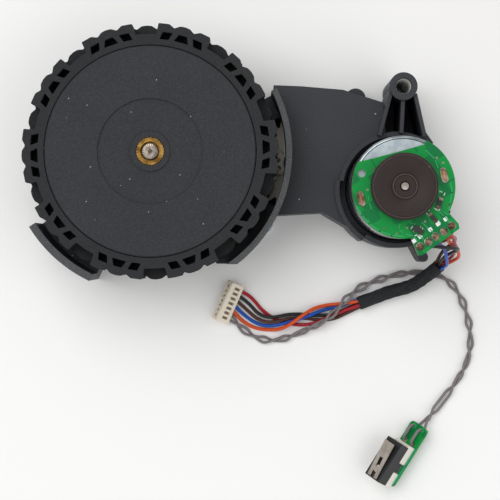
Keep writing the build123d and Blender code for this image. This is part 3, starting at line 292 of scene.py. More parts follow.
softbox("key", (-420, 300, 900), (0.9, 0.8), 5.2)
softbox("fill", (500, -300, 700), (0.8, 0.8), 1.25)

# Matt white table paper, with painted shade that darkens it a little towards the upper right
HALF_TABLE = 3  # metres
table_paper, tree, shader, place = new_material("matt_white_paper")
painted_falloff = rise_between(tree, reach(tree, place, (0.7, 0.7, 0)), -0.05, 0.16)
fill(tree, shader, Base_Color=mix(tree, painted_falloff, paint("#f8f8f8"), paint("#e6e3e1")), Roughness=0.8,
     Specular_IOR_Level=0.2)
table_mesh = bpy.data.meshes.new("table")
table_mesh.from_pydata([(x * HALF_TABLE, y * HALF_TABLE, 0) for x, y in ((-1, -1), (1, -1), (1, 1), (-1, 1))],
                       [], [(0, 1, 2, 3)])
table_mesh.materials.append(table_paper)
table = put("table", table_mesh)


# ---------------------------------------------------------------- materials

def moulded(name, colour, roughness, grain, bump, speck=0.0, edge=0.25, gloss=0.3, dust=0.0, painted_lit_top=None):
    """Injection moulded plastic: a spark-eroded grain of the given size in mm, slightly uneven in
    tone, with small rounded edges that catch the light."""
    material, tree, shader, place = new_material(name)
    fine = noise(tree, place, 1 / (grain * MM), 3.0, 0.6)
    dots = rise_between(tree, fine, 0.38, 0.72)
    uneven = rise_between(tree, noise(tree, place, 60.0, 4.0, 0.55), 0.3, 0.7)
    base = paint(colour)
    pale = tuple(min(c * (1 + 1.6 * speck) + 0.01 * speck, 1) for c in base[:3]) + (1,)
    grainy = mix(tree, dots, shade(base, 1 - speck), pale)
    patches = mix(tree, uneven, (0.75, 0.75, 0.76, 1), (1, 1, 1, 1))
    coloured = mix(tree, 0.12, grainy, patches, "MULTIPLY")
    if painted_lit_top:
        # Faces above a height are painted lighter than the faces below them: painted light on the top faces
        height, dark, light = painted_lit_top
        level = add(tree, "ShaderNodeSeparateXYZ", Vector=place).outputs["Z"]
        coloured = mix(tree, rise_between(tree, level, (height - 0.05) * MM, height * MM), coloured,
                       mix(tree, dots, paint(dark), paint(light)))
    if dust:
        # A grain of pale dust every so many millimetres
        cells = add(tree, "ShaderNodeTexVoronoi", Vector=place, Scale=1 / (dust * MM), Randomness=1.0)
        clear = rise_between(tree, cells.outputs["Distance"], 0.035, 0.055)
        coloured = mix(tree, clear, paint("#a9a8a2"), coloured)
    fill(tree, shader, Base_Color=coloured, Specular_IOR_Level=gloss,
         Roughness=spread(tree, uneven, roughness - 0.06, roughness + 0.06),
         Normal=relief(tree, fine, bump, grain * 0.5, Normal=soft_edges(tree, edge)))
    return material


def metal(name, colour, roughness, grain=0.2, bump=0.05, dull=None):
    """Bare or plated metal: fine tool or rolling marks and a little tarnish."""
    material, tree, shader, place = new_material(name)
    marks = noise(tree, place, 1 / (grain * MM), 4.0, 0.7)
    worn = rise_between(tree, noise(tree, place, 400.0, 3.0), 0.35, 0.7)
    fill(tree, shader, Base_Color=mix(tree, worn, paint(dull or colour), paint(colour)), Metallic=1.0,
         Roughness=spread(tree, marks, roughness * 0.8, roughness * 1.25),
         Normal=relief(tree, marks, bump, 0.02, Normal=soft_edges(tree, 0.12)))
    return material


# Glass-filled nylon of the gearbox: dark blue-grey, dry satin, grain of a quarter millimetre, with painted
# light that makes its tops above 30.9 mm lighter
filled_nylon = moulded("glass_filled_nylon_moulded", "#2f3136", 0.5, 0.28, 0.4, speck=0.2, edge=0.35,
                       dust=4.5, painted_lit_top=(30.9, "#3b3d3f", "#56585a"))
# ABS of the wheel disc: matt charcoal, speckled by its spark-eroded tool, with a few grains of dust
matt_abs = moulded("abs_spark_eroded", "#313236", 0.62, 0.4, 0.45, speck=0.16, edge=0.2, gloss=0.2, dust=3.4)
# Rubber of the tyre: dull, slightly warmer than the plastic
tyre_rubber = moulded("tyre_rubber_moulded", "#2b2c2e", 0.75, 0.5, 0.25, speck=0.12, edge=0.12, gloss=0.2)
# Natural acetal of the gears: milky and smooth
acetal = moulded("acetal_natural", "#e6e3d8", 0.35, 0.3, 0.05, edge=0.1, gloss=0.5)
# Black mouldings: polyester of the switch's case, epoxy of the chips
black_moulding = moulded("pbt_black_moulded", "#242527", 0.38, 0.2, 0.12, speck=0.1, edge=0.12, gloss=0.4)
epoxy = moulded("epoxy_moulded_black", "#19191b", 0.4, 0.12, 0.1, speck=0.1, edge=0.06, gloss=0.5)
# The switch's cream base and white button
cream_base = moulded("pbt_cream_moulded", "#ece6dc", 0.45, 0.2, 0.08, edge=0.1)
white_button = moulded("acetal_white_button", "#e8e8e4", 0.4, 0.2, 0.05, edge=0.15)
# Moulded ferrite of the encoder's magnet: warm brown-black, fine powdery grain
ferrite = moulded("ferrite_moulded", "#2a201e", 0.5, 0.2, 0.15, speck=0.18, edge=0.1, gloss=0.25, dust=3.5)
carbon = moulded("carbon_brush_pressed", "#232325", 0.6, 0.1, 0.1)
# Brass bushes, steel axle and screws, drawn can, coils and solder
brass = metal("brass_knurled", "#99783f", 0.4, grain=0.3, bump=0.6, dull="#5f4520")
steel = metal("steel_turned", "#c2bcb4", 0.3, dull="#8f8882")
axle_steel = metal("steel_cropped_end", "#a2978b", 0.34, grain=0.5, bump=0.35, dull="#6b635d")
zinc = metal("steel_zinc_plated", "#c3ccd1", 0.34, grain=0.5, dull="#a5afb5")
bright_zinc = metal("steel_drawn_bright", "#aab2b7", 0.2, grain=0.8, bump=0.03, dull="#868f94")
nickel = metal("steel_nickel_plated", "#aeb9be", 0.42, grain=0.5, dull="#99a4aa")
laminations = metal("electrical_sheet_stacked", "#77797c", 0.45)
copper = metal("copper_tinned_edge", "#d39a62", 0.3, dull="#94603c")
solder = metal("solder_tin", "#b3a89b", 0.25, grain=0.35, bump=0.7, dull="#54483c")
tinned = metal("bronze_tinned", "#cfc9b8", 0.35)
spring_steel = metal("spring_steel_leaf", "#bdb4aa", 0.3, grain=0.4, dull="#a39a91")

# Solder mask over glass epoxy: saturated green and glossy, darker where no copper lies under it, and
# sawn edges of bare tan laminate
solder_mask, tree, shader, place = new_material("solder_mask_green")
normal = add(tree, "ShaderNodeTexCoord").outputs["Normal"]
turned = add(tree, "ShaderNodeMapping", Vector=place, Rotation=(0, 0, math.radians(12))).outputs["Vector"]
pours = add(tree, "ShaderNodeTexVoronoi", {"distance": "MANHATTAN"}, Vector=turned, Scale=190.0,
            Randomness=0.9)
no_copper = rise_between(tree, pours.outputs["Distance"], 0.86, 0.9)
upward = calc(tree, "ABSOLUTE", add(tree, "ShaderNodeSeparateXYZ", Vector=normal).outputs["Z"])
mask = mix(tree, no_copper, paint("#008c3c"), paint("#00733a"))
fill(tree, shader, Base_Color=mix(tree, rise_between(tree, upward, 0.3, 0.5), paint("#b3a67c"), mask),
     Roughness=0.32, Specular_IOR_Level=0.22, Normal=relief(tree, no_copper, 0.2, 0.03, sunk=True))

# Copper tracks under the mask: the same green, lighter and a touch raised
mask_on_copper = moulded("solder_mask_on_copper", "#1fa05a", 0.3, 0.3, 0.05, edge=0.05, gloss=0.5)
# Screen printed legend: flat white ink, slightly grainy
legend_ink = moulded("legend_ink_white", "#e9f1ec", 0.6, 0.15, 0.2, speck=0.1, edge=0.02)

# Nylon of the plug: cream, slightly glossy, with painted shade darkening the inside of its latch windows.
# These lie between two heights over the plug's middle, short of its ends, and on no face that looks along the
# wires
PLUG_AT, PLUG_HEADING, PLUG_TILT = Vector((-49.1, -60.7, 2.56)), -113.6, math.radians(33)
plug_along = polar(1, PLUG_HEADING)
plug_exit = polar(1, PLUG_HEADING + 90)
plug_up = UP * math.cos(PLUG_TILT) + plug_exit * math.sin(PLUG_TILT)
plug_nylon, tree, shader, place = new_material("nylon_natural_cream")
normal = add(tree, "ShaderNodeTexCoord").outputs["Normal"]
from_plug = add(tree, "ShaderNodeVectorMath", {"operation": "SUBTRACT"}, i0=place,
                i1=tuple(PLUG_AT * MM)).outputs[0]
height = reach(tree, from_plug, plug_up)
level = calc(tree, "MULTIPLY", fall_between(tree, height, 1.1 * MM, 1.35 * MM),
             rise_between(tree, height, 0.6 * MM, 0.75 * MM))
endwise = calc(tree, "ABSOLUTE", reach(tree, from_plug, plug_along))
level = calc(tree, "MULTIPLY", level, fall_between(tree, endwise, 5.4 * MM, 5.6 * MM))
wireward = rise_between(tree, calc(tree, "ABSOLUTE", reach(tree, normal, plug_exit)), 0.65, 0.75)
painted_window_shade = calc(tree, "MULTIPLY", level, calc(tree, "SUBTRACT", 1.0, wireward))
cream = mix(tree, noise(tree, place, 900.0, 3.0), paint("#ddd0b8"), paint("#f1e9da"))
fill(tree, shader, Base_Color=mix(tree, painted_window_shade, cream, paint("#8d7c68")), Roughness=0.4,
     Normal=soft_edges(tree, 0.12))


def pvc(name, colour, roughness=0.32):
    """PVC wire insulation: extruded smooth, with a soft gloss and a faint drift in tone."""
    material, tree, shader, place = new_material(name)
    drift = noise(tree, place, 500.0, 3.0)
    fill(tree, shader, Base_Color=mix(tree, drift, shade(paint(colour), 0.82), paint(colour)),
         Roughness=spread(tree, drift, roughness - 0.05, roughness + 0.08), Specular_IOR_Level=0.28,
         Normal=relief(tree, drift, 0.15, 0.05))
    return material


insulation = {
    "wire_red": pvc("pvc_red", "#ab1226"),
    "wire_black": pvc("pvc_black", "#222324"),
    "wire_brown": pvc("pvc_brown", "#4f2d24"),
    "wire_blue": pvc("pvc_blue", "#1450b4"),
    "wire_orange": pvc("pvc_orange", "#e0521a"),
}
grey_pvc = pvc("pvc_grey", "#807a7b", 0.4)
# Woven glass sleeve: dull black yarn, a fine cross weave of a third of a millimetre
woven_sleeve, tree, shader, place = new_material("glass_sleeve_woven")
yarn = add(tree, "ShaderNodeTexVoronoi", {"distance": "CHEBYCHEV"}, Vector=place, Scale=1 / (0.34 * MM),
           Randomness=0.35)
fill(tree, shader, Base_Color=mix(tree, noise(tree, place, 1500.0, 4.0), paint("#161718"), paint("#35373a")),
     Roughness=0.85, Specular_IOR_Level=0.2,
     Normal=relief(tree, yarn.outputs["Distance"], 0.7, 0.15, sunk=True))

# The solids that keep their own shape
node_finish = {
    "gearbox_housing": filled_nylon, "gearbox_cover": filled_nylon, "cover_screws": zinc,
    "idler_pins": steel, "wheel_bearing": steel, "cover_bearing": steel, "motor_screws": zinc,
    "motor_end_plate": nickel, "motor_bearings": brass, "motor_magnets": ferrite, "motor_brushes": carbon,
    "encoder_board": solder_mask, "motor_terminals": copper, "solder_joints": solder, "hall_sensor": epoxy,
    "plug_housing": plug_nylon, "plug_contacts": tinned, "switch_terminals": solder,
    "switch_leads": grey_pvc, "wheel_disc": matt_abs, "hub_bush": brass, "output_gear": acetal,
    "idler_gear_1": acetal, "idler_gear_2": acetal, "idler_gear_3": acetal, "motor_shaft": steel,
    "motor_pinion": brass, "armature_core": laminations, "armature_coils": copper, "commutator": copper,
    "switch_button": white_button,
}
for name, material in node_finish.items():
    nodes[name].data.materials.clear()
    nodes[name].data.materials.append(material)


# ---------------------------------------------------------------- motor and its board

CENTRE = (0, 0)
BOARD_TOP = 45.6
on_board = (MOTOR, EAST, NORTH, UP)


def stand_on_board(work, loops, rise):
    """Adds a plate of the given rise to a work, standing on the motor's board."""
    prism(work, loops, BOARD_TOP, BOARD_TOP + rise, on_board)


# The drawn can: a rounded shoulder that runs into a rolled rim round the end plate
can_profile = [
    (3.9, 10.0), (4.9, 10.0), (4.9, 11.2), (13.3, 11.2), (13.85, 11.8), (13.85, 43.0), (13.8, 43.3),
    (13.66, 43.55), (13.45, 43.72), (13.3, 43.8), (13.12, 43.8), (13.02, 43.7), (12.93, 43.5),
    (12.93, 12.1), (3.9, 12.1)]
can = mesh_object("can_drawn", lathe("can_drawn", can_profile, MOTOR), bright_zinc, "housing")
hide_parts("motor_can")

# The encoder's magnet: a moulded puck with a fine ring near its rim and a raised hub, whose edge gets a
# painted highlight below
magnet_profile = [
    (1.04, 46.3), (8.95, 46.3), (8.95, 49.55), (8.88, 49.75), (8.72, 49.88), (8.3, 49.9), (8.22, 49.82),
    (8.12, 49.82), (8.04, 49.9), (3.55, 49.9), (3.42, 49.82), (3.3, 49.86), (3.24, 50.2), (3.16, 50.34),
    (3.05, 50.38), (2.9, 50.3), (2.78, 50.16), (1.35, 50.14), (1.2, 49.9), (1.04, 49.8)]
puck = mesh_object("encoder_puck", lathe("encoder_puck", magnet_profile, MOTOR), ferrite, "rotor")
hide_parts("encoder_magnet")

# Lighter rings on the hub's edge and on the fine ring near the rim: painted highlights where these edges
# catch the light
ferrite_highlight_rings = moulded("ferrite_painted_highlight", "#5b4e4a", 0.45, 0.2, 0.1, speck=0.3, edge=0.05)
work = bmesh.new()
prism(work, ring_loops(CENTRE, 3.26, 3.1, 64), 50.2, 50.39, on_board)
prism(work, ring_loops(CENTRE, 8.36, 8.26, 96), 49.8, 49.915, on_board)
plate_piece("encoder_puck_edges", work, ferrite_highlight_rings, "rotor")

# A thin pale bush lines the pivot bore and leaves it open for its pin
BUSH_OUT_R, BUSH_BORE_R, BUSH_LOW, BUSH_HIGH = 2.098, 2.06, 0.2, 26.6
pale_bush = moulded("acetal_bush_pale", "#f2f2ef", 0.3, 0.2, 0.05, edge=0.05, gloss=0.6)
work = bmesh.new()
prism(work, ring_loops(CENTRE, BUSH_OUT_R, BUSH_BORE_R, 64), BUSH_LOW, BUSH_HIGH, (ORIGIN, EAST, NORTH, UP))
plate_piece("pivot_bore_bush", work, pale_bush, "housing")

# Tracks of copper under the mask: the places that each runs through, and its width
FILM = 0.03
TRACKS = [
    ([(9.4, -6.5), (10.9, -7.9), (12.4, -9.6)], 0.28), ([(10.1, -6.1), (11.6, -7.5)], 0.22),
    ([(4.9, -9.6), (6.5, -11.0)], 0.3), ([(7.1, -11.4), (8.2, -12.6)], 0.24),
    ([(-1.0, -10.1), (-1.3, -11.4), (0.2, -12.5), (2.6, -13.2), (3.9, -14.6)], 0.26),
    ([(1.5, -9.4), (2.6, -10.1), (3.2, -9.9)], 0.24), ([(4.4, -13.3), (5.9, -14.5)], 0.24),
    ([(12.5, 1.2), (13.0, -1.6), (12.3, -4.6), (12.0, -6.0)], 0.35),
    ([(9.2, 5.0), (8.4, 7.4), (5.8, 9.9)], 0.3),
    ([(-12.6, -5.2), (-11.2, -7.6), (-9.2, -9.9), (-6.4, -11.9), (-3.2, -13.0), (0.0, -13.3)], 0.35),
    ([(-9.4, -2.4), (-9.3, -4.0), (-8.6, -5.9)], 0.26), ([(9.3, -0.6), (9.7, -2.2), (9.5, -3.6)], 0.26),
]
work = bmesh.new()
for points, width in TRACKS:
    for a, b in zip(points, points[1:]):
        a, b = Vector((*a, 0)), Vector((*b, 0))
        lean = math.degrees(math.atan2(b.y - a.y, b.x - a.x))
        stand_on_board(work, [tilted_box((a + b) / 2, (b - a).length + width * 0.8, width, lean)], FILM)
plate_piece("board_tracks", work, mask_on_copper, "housing")

# Printed legend: a square by each wire pad, and bars round the chips with their place, length and lean
INK, SQUARE, BAR_WIDTH = 0.02, 1.05, 0.2
BARS = [((6.15, -6.6), 1.3, 40), ((6.3, -7.3), 0.9, -50), ((6.75, -6.25), 0.5, -50), ((9.55, -9.4), 1.0, -50),
        ((8.6, -6.0), 1.2, -35), ((9.6, -6.1), 0.8, 45), ((10.9, -2.0), 0.9, 70), ((9.9, -1.3), 1.0, -20),
        ((2.2, -10.9), 0.9, 60), ((5.0, -11.4), 0.9, 80), ((3.3, -13.0), 0.8, 20)]
work = bmesh.new()
for place in ((2.77, -14.5), (4.4, -13.3), (7.12, -11.42), (9.16, -9.98), (11.2, -8.66)):
    stand_on_board(work, [tilted_box(place, SQUARE, SQUARE, 36)], INK)
for place, long, lean in BARS:
    stand_on_board(work, [tilted_box(place, long, BAR_WIDTH, lean)], INK)
plate_piece("board_legend", work, legend_ink, "housing")

# Chips: a black body between two soldered ends, each at its place with its lean, length and width
CHIPS = [((7.75, -8.2), -50, 2.5, 1.15), ((9.6, -4.4), -106, 2.6, 1.15)]
work, ends = bmesh.new(), bmesh.new()
for place, lean, long, wide in CHIPS:
    stand_on_board(work, [tilted_box(place, long * 0.6, wide, lean)], 0.5)
    for end in (-1, 1):
        spot = Vector((*place, 0)) + polar(end * long * 0.4, lean)
        stand_on_board(ends, [tilted_box(spot, long * 0.22, wide * 1.02, lean)], 0.54)
        stand_on_board(ends, [tilted_box(spot + polar(end * 0.2, lean), long * 0.26, wide * 1.2, lean)], 0.12)
chips = plate_piece("chip_bodies", work, epoxy, "housing")
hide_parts("board_chips")

# The sensor's soldered legs, one on one side and two on the other, and the vias
SENSOR_AT, SENSOR_LEAN, LEG_PITCH, LEG_OUT = Vector((3.9, -11.6, 0)), -33, 1.9, 0.95
VIAS = [(-9.7, -0.8), (-8.3, 4.6), (10.6, 6.4), (8.9, 7.7), (-5.2, -11.2), (0.9, -11.0), (5.7, -9.3),
        (11.9, -4.9), (-1.8, -12.6)]
for side, count in ((1, 1), (-1, 2)):
    for number in range(count):
        along = (number - (count - 1) / 2) * LEG_PITCH
        spot = SENSOR_AT + polar(along, SENSOR_LEAN) + polar(side * LEG_OUT, SENSOR_LEAN + 90)
        stand_on_board(ends, [tilted_box(spot, 0.4, 0.7, SENSOR_LEAN)], 0.3)
for place in VIAS:
    stand_on_board(ends, ring_loops(place, 0.32, 0.15, 16), FILM)
plate_piece("chip_ends", ends, solder, "housing")

# Every wire pad: a flat ring that rises into a lumpy dome of solder
PADS = [(4.4, -16.0), (6.6, -14.7), (8.6, -13.3), (10.8, -12.0), (12.9, -10.4)]
DOME = [(0.0, 46.12), (0.18, 46.1), (0.3, 45.98), (0.55, 45.96), (0.84, 45.84), (0.93, 45.7), (1.1, 45.66),
        (1.12, 45.58), (0.0, 45.58)]
PAD_RING_TOP, LUMP = 45.68, 0.07
work = bmesh.new()
for place in PADS:
    dome = lathe("dome", DOME, MOTOR + Vector((*place, 0)), 28)
    work.from_mesh(dome)
    bpy.data.meshes.remove(dome)
for vertex in work.verts:
    if vertex.co.z > PAD_RING_TOP * MM:
        wave = math.sin(vertex.co.x * 5200) * math.sin(vertex.co.y * 4700 + 1)
        vertex.co.z += LUMP * wave * MM
plate_piece("pad_solder", work, solder, "housing")

# Tips of the bare wires standing through their pads, each turned a little more than the last
work = bmesh.new()
for number, place in enumerate(PADS):
    prism(work, [tilted_box(place, 1.1, 0.3, -50 + 9 * number)], 45.9, 46.16, on_board)
plate_piece("wire_tips", work, copper, "housing")


# ---------------------------------------------------------------- hub

# The axle's end: cropped and centre punched, its rim broken by fine serrations and its
# face a little uneven
axle_profile = [
    (2.3, 0.9), (2.3, 34.3), (2.2, 34.6), (2.05, 34.7), (1.3, 34.62), (0.55, 34.52), (0.4, 34.3),
    (0.22, 34.22), (0.12, 34.4), (0.0, 34.46), (0.0, 0.9)]
RIM_R, RIM_LOW, TEETH, TOOTH_DEPTH = 1.9, 33, 21, 0.12
FACE_IN_R, FACE_LOW, FACE_WAVE = 0.5, 34.45, 0.10
work = bmesh.new()
shaft = lathe("axle_turned", axle_profile, WHEEL, 96)
work.from_mesh(shaft)
bpy.data.meshes.remove(shaft)
for vertex in work.verts:
    away = vertex.co - WHEEL * MM
    radius = math.hypot(away.x, away.y) / MM
    turn = math.atan2(away.y, away.x)
    if vertex.co.z > RIM_LOW * MM and radius > RIM_R:
        vertex.co.z -= TOOTH_DEPTH * (0.5 + 0.5 * math.sin(TEETH * turn)) * MM
    elif vertex.co.z > FACE_LOW * MM and radius > FACE_IN_R:
        vertex.co.z += FACE_WAVE * math.sin(2 * turn + 0.6) * math.sin(radius * 2.2) * MM
shaft = plate_piece("axle_turned", work, axle_steel, "wheel")
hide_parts("wheel_axle")


# ---------------------------------------------------------------- switch

# The switch's own frame: from its lead end towards its pivot, across, and up from its board
SWITCH_UP = Vector((-0.567455, 0.354585, 0.743145))
SWITCH_ALONG = polar(1, -122)
on_switch = (Vector((1.6, -104.7, 2.96)), SWITCH_ALONG, SWITCH_UP.cross(SWITCH_ALONG), SWITCH_UP)
# The lever's own frame: from its pivot along its leaf, across, and up from it
PIVOT_X, PIVOT_Z, LEVER_REST = 9.5, 5.5, math.radians(8)
lever_along = SWITCH_UP * math.sin(LEVER_REST) - SWITCH_ALONG * math.cos(LEVER_REST)
lever_up = SWITCH_UP * math.cos(LEVER_REST) + SWITCH_ALONG * math.sin(LEVER_REST)
on_lever = (on_switch[0] + SWITCH_ALONG * PIVOT_X + SWITCH_UP * PIVOT_Z, lever_along,
            lever_up.cross(lever_along), lever_up)

# Cream base, cut away under the case's snap tabs
BASE_TOP, HALF_CASE = 2.7, 2.9
work = bmesh.new()
for left, right, half in ((-3.1, 2.6, HALF_CASE), (2.6, 5.8, 2.35), (5.8, 10.4, HALF_CASE)):
    prism(work, [box_loop(left, right, -half, half)], 0.0, BASE_TOP, on_switch)
base = plate_piece("switch_base_moulded", work, cream_base, "housing")
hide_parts("switch_base")

# Black case with its button's guide, the pockets that take the lever's ears, and its snap tabs
CASE_SILL, CASE_TOP = 4.2, 6.4
outside = box_loop(-2.4, 10.4, -HALF_CASE, HALF_CASE, 0.25)
guide = box_loop(6.0, 8.6, -0.85, 0.85)
pockets = [box_loop(8.2, 10.15, side * 1.8 - 0.26, side * 1.8 + 0.26) for side in (-1, 1)]
work = bmesh.new()
prism(work, [outside], BASE_TOP, CASE_SILL, on_switch)
prism(work, [outside, guide] + pockets, CASE_SILL, CASE_TOP, on_switch)
for side in (-1, 1):
    prism(work, [box_loop(2.75, 5.65, side * 2.62 - 0.27, side * 2.62 + 0.27)], 0.9, 2.75, on_switch)
case = plate_piece("switch_case_moulded", work, black_moulding, "housing")
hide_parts("switch_case")

# The leaf: open fork at the hinge, a bridge over the button, a window, and two ears bent down
HINGE_END, LEAF_TIP, HALF_LEAF, FORK_END, HALF_FORK = -0.35, 11.0, 1.85, 1.6, 0.65
leaf = [Vector((x, y, 0)) for x, y in (
    (HINGE_END, -HALF_LEAF), (LEAF_TIP, -HALF_LEAF), (LEAF_TIP, HALF_LEAF), (HINGE_END, HALF_LEAF),
    (HINGE_END, HALF_FORK), (FORK_END, HALF_FORK), (FORK_END, -HALF_FORK), (HINGE_END, -HALF_FORK))]
work = bmesh.new()
prism(work, [leaf, box_loop(3.0, 6.0, -0.6, 0.6)], 1.05, 1.35, on_lever)
for side in (-1, 1):
    prism(work, [box_loop(HINGE_END, 1.1, side * 1.7 - 0.15, side * 1.7 + 0.15)], -0.7, 1.06, on_lever)
lever = plate_piece("switch_leaf", work, spring_steel, "switch_lever")
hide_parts("switch_lever")

# The switch's board, its corners rounded, with two holes at the lead end and two beside the base
HOLES = [(-8.6, 1.55), (-8.6, -1.55), (-3.9, 1.55), (-3.9, -1.55)]
outline = rounded(box_loop(-9.8, 9.8, -3.3, 3.3), 1.4, 6)
work = bmesh.new()
prism(work, [outline] + [round_loop(place, 0.47, 20) for place in HOLES], -1.0, 0.0, on_switch)
plate = plate_piece("switch_board_cut", work, solder_mask, "housing")
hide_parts("switch_board")

# On it, the rings of the two lead holes, a strip of thin mask at one long edge, and two soldered lands
work = bmesh.new()
for place in HOLES[:2]:
    prism(work, ring_loops(place, 0.9, 0.5, 24), 0.0, FILM, on_switch)
plate_piece("switch_board_rings", work, mask_on_copper, "housing")
mask_edge = moulded("solder_mask_thin_edge", "#2f9f86", 0.35, 0.3, 0.05, edge=0.05, gloss=0.5)
work = bmesh.new()
prism(work, [box_loop(-3.1, 9.2, 2.95, 3.28)], 0.0, FILM, on_switch)
plate_piece("switch_board_margin", work, mask_edge, "housing")
work = bmesh.new()
for x, y in HOLES[2:]:
    prism(work, [round_loop((x + 0.42, y - 0.1), 0.42, 16)], 0.0, 0.5, on_switch)
    prism(work, [round_loop((x + 0.1, y), 0.7, 20)], 0.0, 0.12, on_switch)
plate_piece("switch_lands", work, solder, "housing")


# ---------------------------------------------------------------- harness

# Each wire's route, in millimetres: plug, table, sleeve, then up to its pad under the board
ROUTES = {
    "wire_red": [
        (-45.61, -57.32, 1.36), (-43.5, -58.4, 0.7), (-41.3, -60.4, 0.55), (-39.3, -63.0, 0.55),
        (-36.2, -65.3, 0.55), (-32.4, -66.9, 0.55), (-28.0, -67.5, 0.55), (-24.4, -67.1, 1.2),
        (-21.2, -65.7, 1.75), (-18.0, -64.2, 1.95), (-14.6, -62.9, 2.2), (-10.8, -61.62, 2.6),
        (-6.84, -60.28, 2.34), (-3.06, -58.85, 2.14), (0.34, -57.98, 2.2), (3.65, -56.75, 2.76),
        (6.46, -54.93, 3.61), (8.65, -53.0, 4.69), (10.35, -51.13, 6.08), (11.7, -49.3, 7.74),
        (14.45, -48.06, 12.99), (14.82, -46.47, 21.79), (13.49, -42.62, 33.15), (11.87, -41.41, 40.1),
        (9.2, -40.6, 42.4), (9.2, -40.6, 44.6)],
    "wire_black": [
        (-46.21, -58.69, 1.36), (-44.2, -60.1, 0.7), (-42.3, -61.9, 0.55), (-40.5, -64.0, 0.75),
        (-37.9, -65.2, 1.75), (-34.8, -65.0, 1.75), (-31.5, -64.3, 0.7), (-27.6, -64.2, 0.55),
        (-23.4, -64.7, 0.55), (-19.2, -64.5, 0.55), (-15.2, -63.1, 0.9), (-11.0, -61.1, 1.6),
        (-7.16, -59.44, 1.63), (-3.38, -57.79, 1.83), (0.02, -56.89, 2.33), (3.13, -55.88, 3.3),
        (5.84, -54.47, 4.46), (8.1, -53.03, 5.69), (10.03, -51.62, 7.06), (11.73, -50.08, 8.58),
        (11.73, -48.77, 12.83), (12.47, -46.96, 20.44), (15.65, -45.11, 32.14), (10.36, -44.94, 37.36),
        (6.8, -44.4, 39.6), (2.8, -44.6, 41.6), (2.8, -44.6, 44.6)],
    "wire_brown": [
        (-46.81, -60.06, 1.36), (-45.0, -61.7, 0.7), (-43.2, -63.4, 0.55), (-41.0, -65.4, 0.75),
        (-38.1, -66.6, 1.75), (-35.0, -66.4, 1.85), (-32.4, -65.7, 1.55), (-29.6, -65.3, 0.75),
        (-26.0, -65.5, 0.55), (-22.2, -66.0, 0.55), (-18.2, -65.8, 0.55), (-14.4, -63.9, 1.1),
        (-10.61, -62.11, 1.6), (-6.79, -60.37, 1.22), (-3.1, -58.5, 1.07), (0.29, -57.25, 1.35),
        (3.39, -55.77, 2.26), (5.9, -53.95, 3.52), (7.89, -52.23, 4.99), (9.5, -50.75, 6.7),
        (10.95, -49.34, 8.58), (12.3, -45.6, 13.0), (15.4, -43.0, 20.0), (13.92, -41.47, 26.98),
        (9.24, -43.64, 33.69), (7.0, -41.9, 41.6), (7.0, -41.9, 44.6)],
    "wire_blue": [
        (-47.41, -61.44, 1.36), (-45.7, -63.3, 0.7), (-43.8, -65.0, 0.55), (-41.2, -66.8, 0.7),
        (-38.0, -67.8, 1.0), (-34.4, -67.4, 1.7), (-31.0, -66.5, 1.85), (-28.0, -65.6, 1.85),
        (-25.0, -64.5, 1.8), (-21.8, -63.2, 1.2), (-18.2, -62.3, 0.55), (-14.6, -61.3, 0.8),
        (-11.39, -60.09, 1.6), (-7.52, -58.51, 2.05), (-3.65, -57.08, 2.59), (-0.25, -56.54, 3.31),
        (2.86, -56.0, 4.34), (5.77, -55.0, 5.4), (8.31, -53.83, 6.38), (10.56, -52.49, 7.42),
        (12.52, -50.82, 8.58), (13.58, -49.79, 13.68), (12.7, -48.5, 21.0), (11.45, -44.82, 27.21),
        (8.4, -43.6, 33.6), (5.0, -43.3, 41.6), (5.0, -43.3, 44.6)],
    "wire_orange": [
        (-48.01, -62.81, 1.36), (-46.2, -65.0, 0.7), (-44.2, -66.8, 0.55), (-41.2, -68.4, 0.55),
        (-37.4, -68.9, 0.7), (-33.8, -68.7, 1.6), (-30.8, -67.1, 2.95), (-27.6, -64.7, 2.95),
        (-24.2, -62.5, 1.7), (-20.4, -61.6, 0.7), (-16.4, -61.2, 1.5), (-11.2, -60.58, 2.6),
        (-7.22, -59.32, 2.77), (-3.35, -58.11, 2.93), (0.06, -57.62, 3.22), (3.37, -56.87, 3.84),
        (6.39, -55.47, 4.59), (8.87, -53.83, 5.41), (10.91, -52.03, 6.45), (12.51, -50.07, 7.74),
        (15.6, -48.6, 12.0), (16.98, -47.19, 17.05), (14.33, -43.98, 24.49), (10.97, -43.0, 34.27),
        (12.97, -39.84, 37.32), (11.3, -39.0, 41.6), (11.3, -39.0, 44.6)],
}
SLEEVE = [
    (-11.0, -61.1, 2.05), (-7.1, -59.6, 2.05), (-3.3, -58.1, 2.15), (0.1, -57.3, 2.5),
    (3.3, -56.3, 3.3), (6.1, -54.8, 4.3), (8.4, -53.2, 5.4), (10.3, -51.6, 6.7), (11.9, -49.9, 8.2)]
PAIR = [
    (-48.36, -65.12, 1.36), (-46.4, -67.2, 1.0), (-43.6, -69.6, 0.9), (-40.3, -71.4, 0.9),
    (-36.5, -72.1, 0.9), (-32.8, -71.5, 0.9), (-29.3, -70.2, 0.9), (-25.9, -68.8, 1.5),
    (-22.6, -67.2, 2.9), (-19.5, -65.0, 3.5), (-16.9, -62.4, 3.5), (-14.6, -59.7, 3.05),
    (-12.0, -57.4, 1.3), (-8.8, -55.6, 0.9), (-5.0, -54.1, 0.9), (-0.9, -52.9, 0.9),
    (3.4, -52.1, 0.9), (7.6, -52.0, 0.9), (11.6, -52.5, 0.9), (15.1, -54.2, 0.9),
    (17.8, -57.2, 0.9), (19.8, -61.2, 0.9), (21.2, -65.9, 0.9), (21.9, -71.0, 0.9),
    (21.5, -76.2, 0.9), (19.6, -81.0, 0.9), (16.8, -85.2, 0.9), (13.9, -89.0, 0.9),
    (11.2, -92.4, 1.3), (8.93, -94.89, 1.83)]
WIRE_R = 0.5


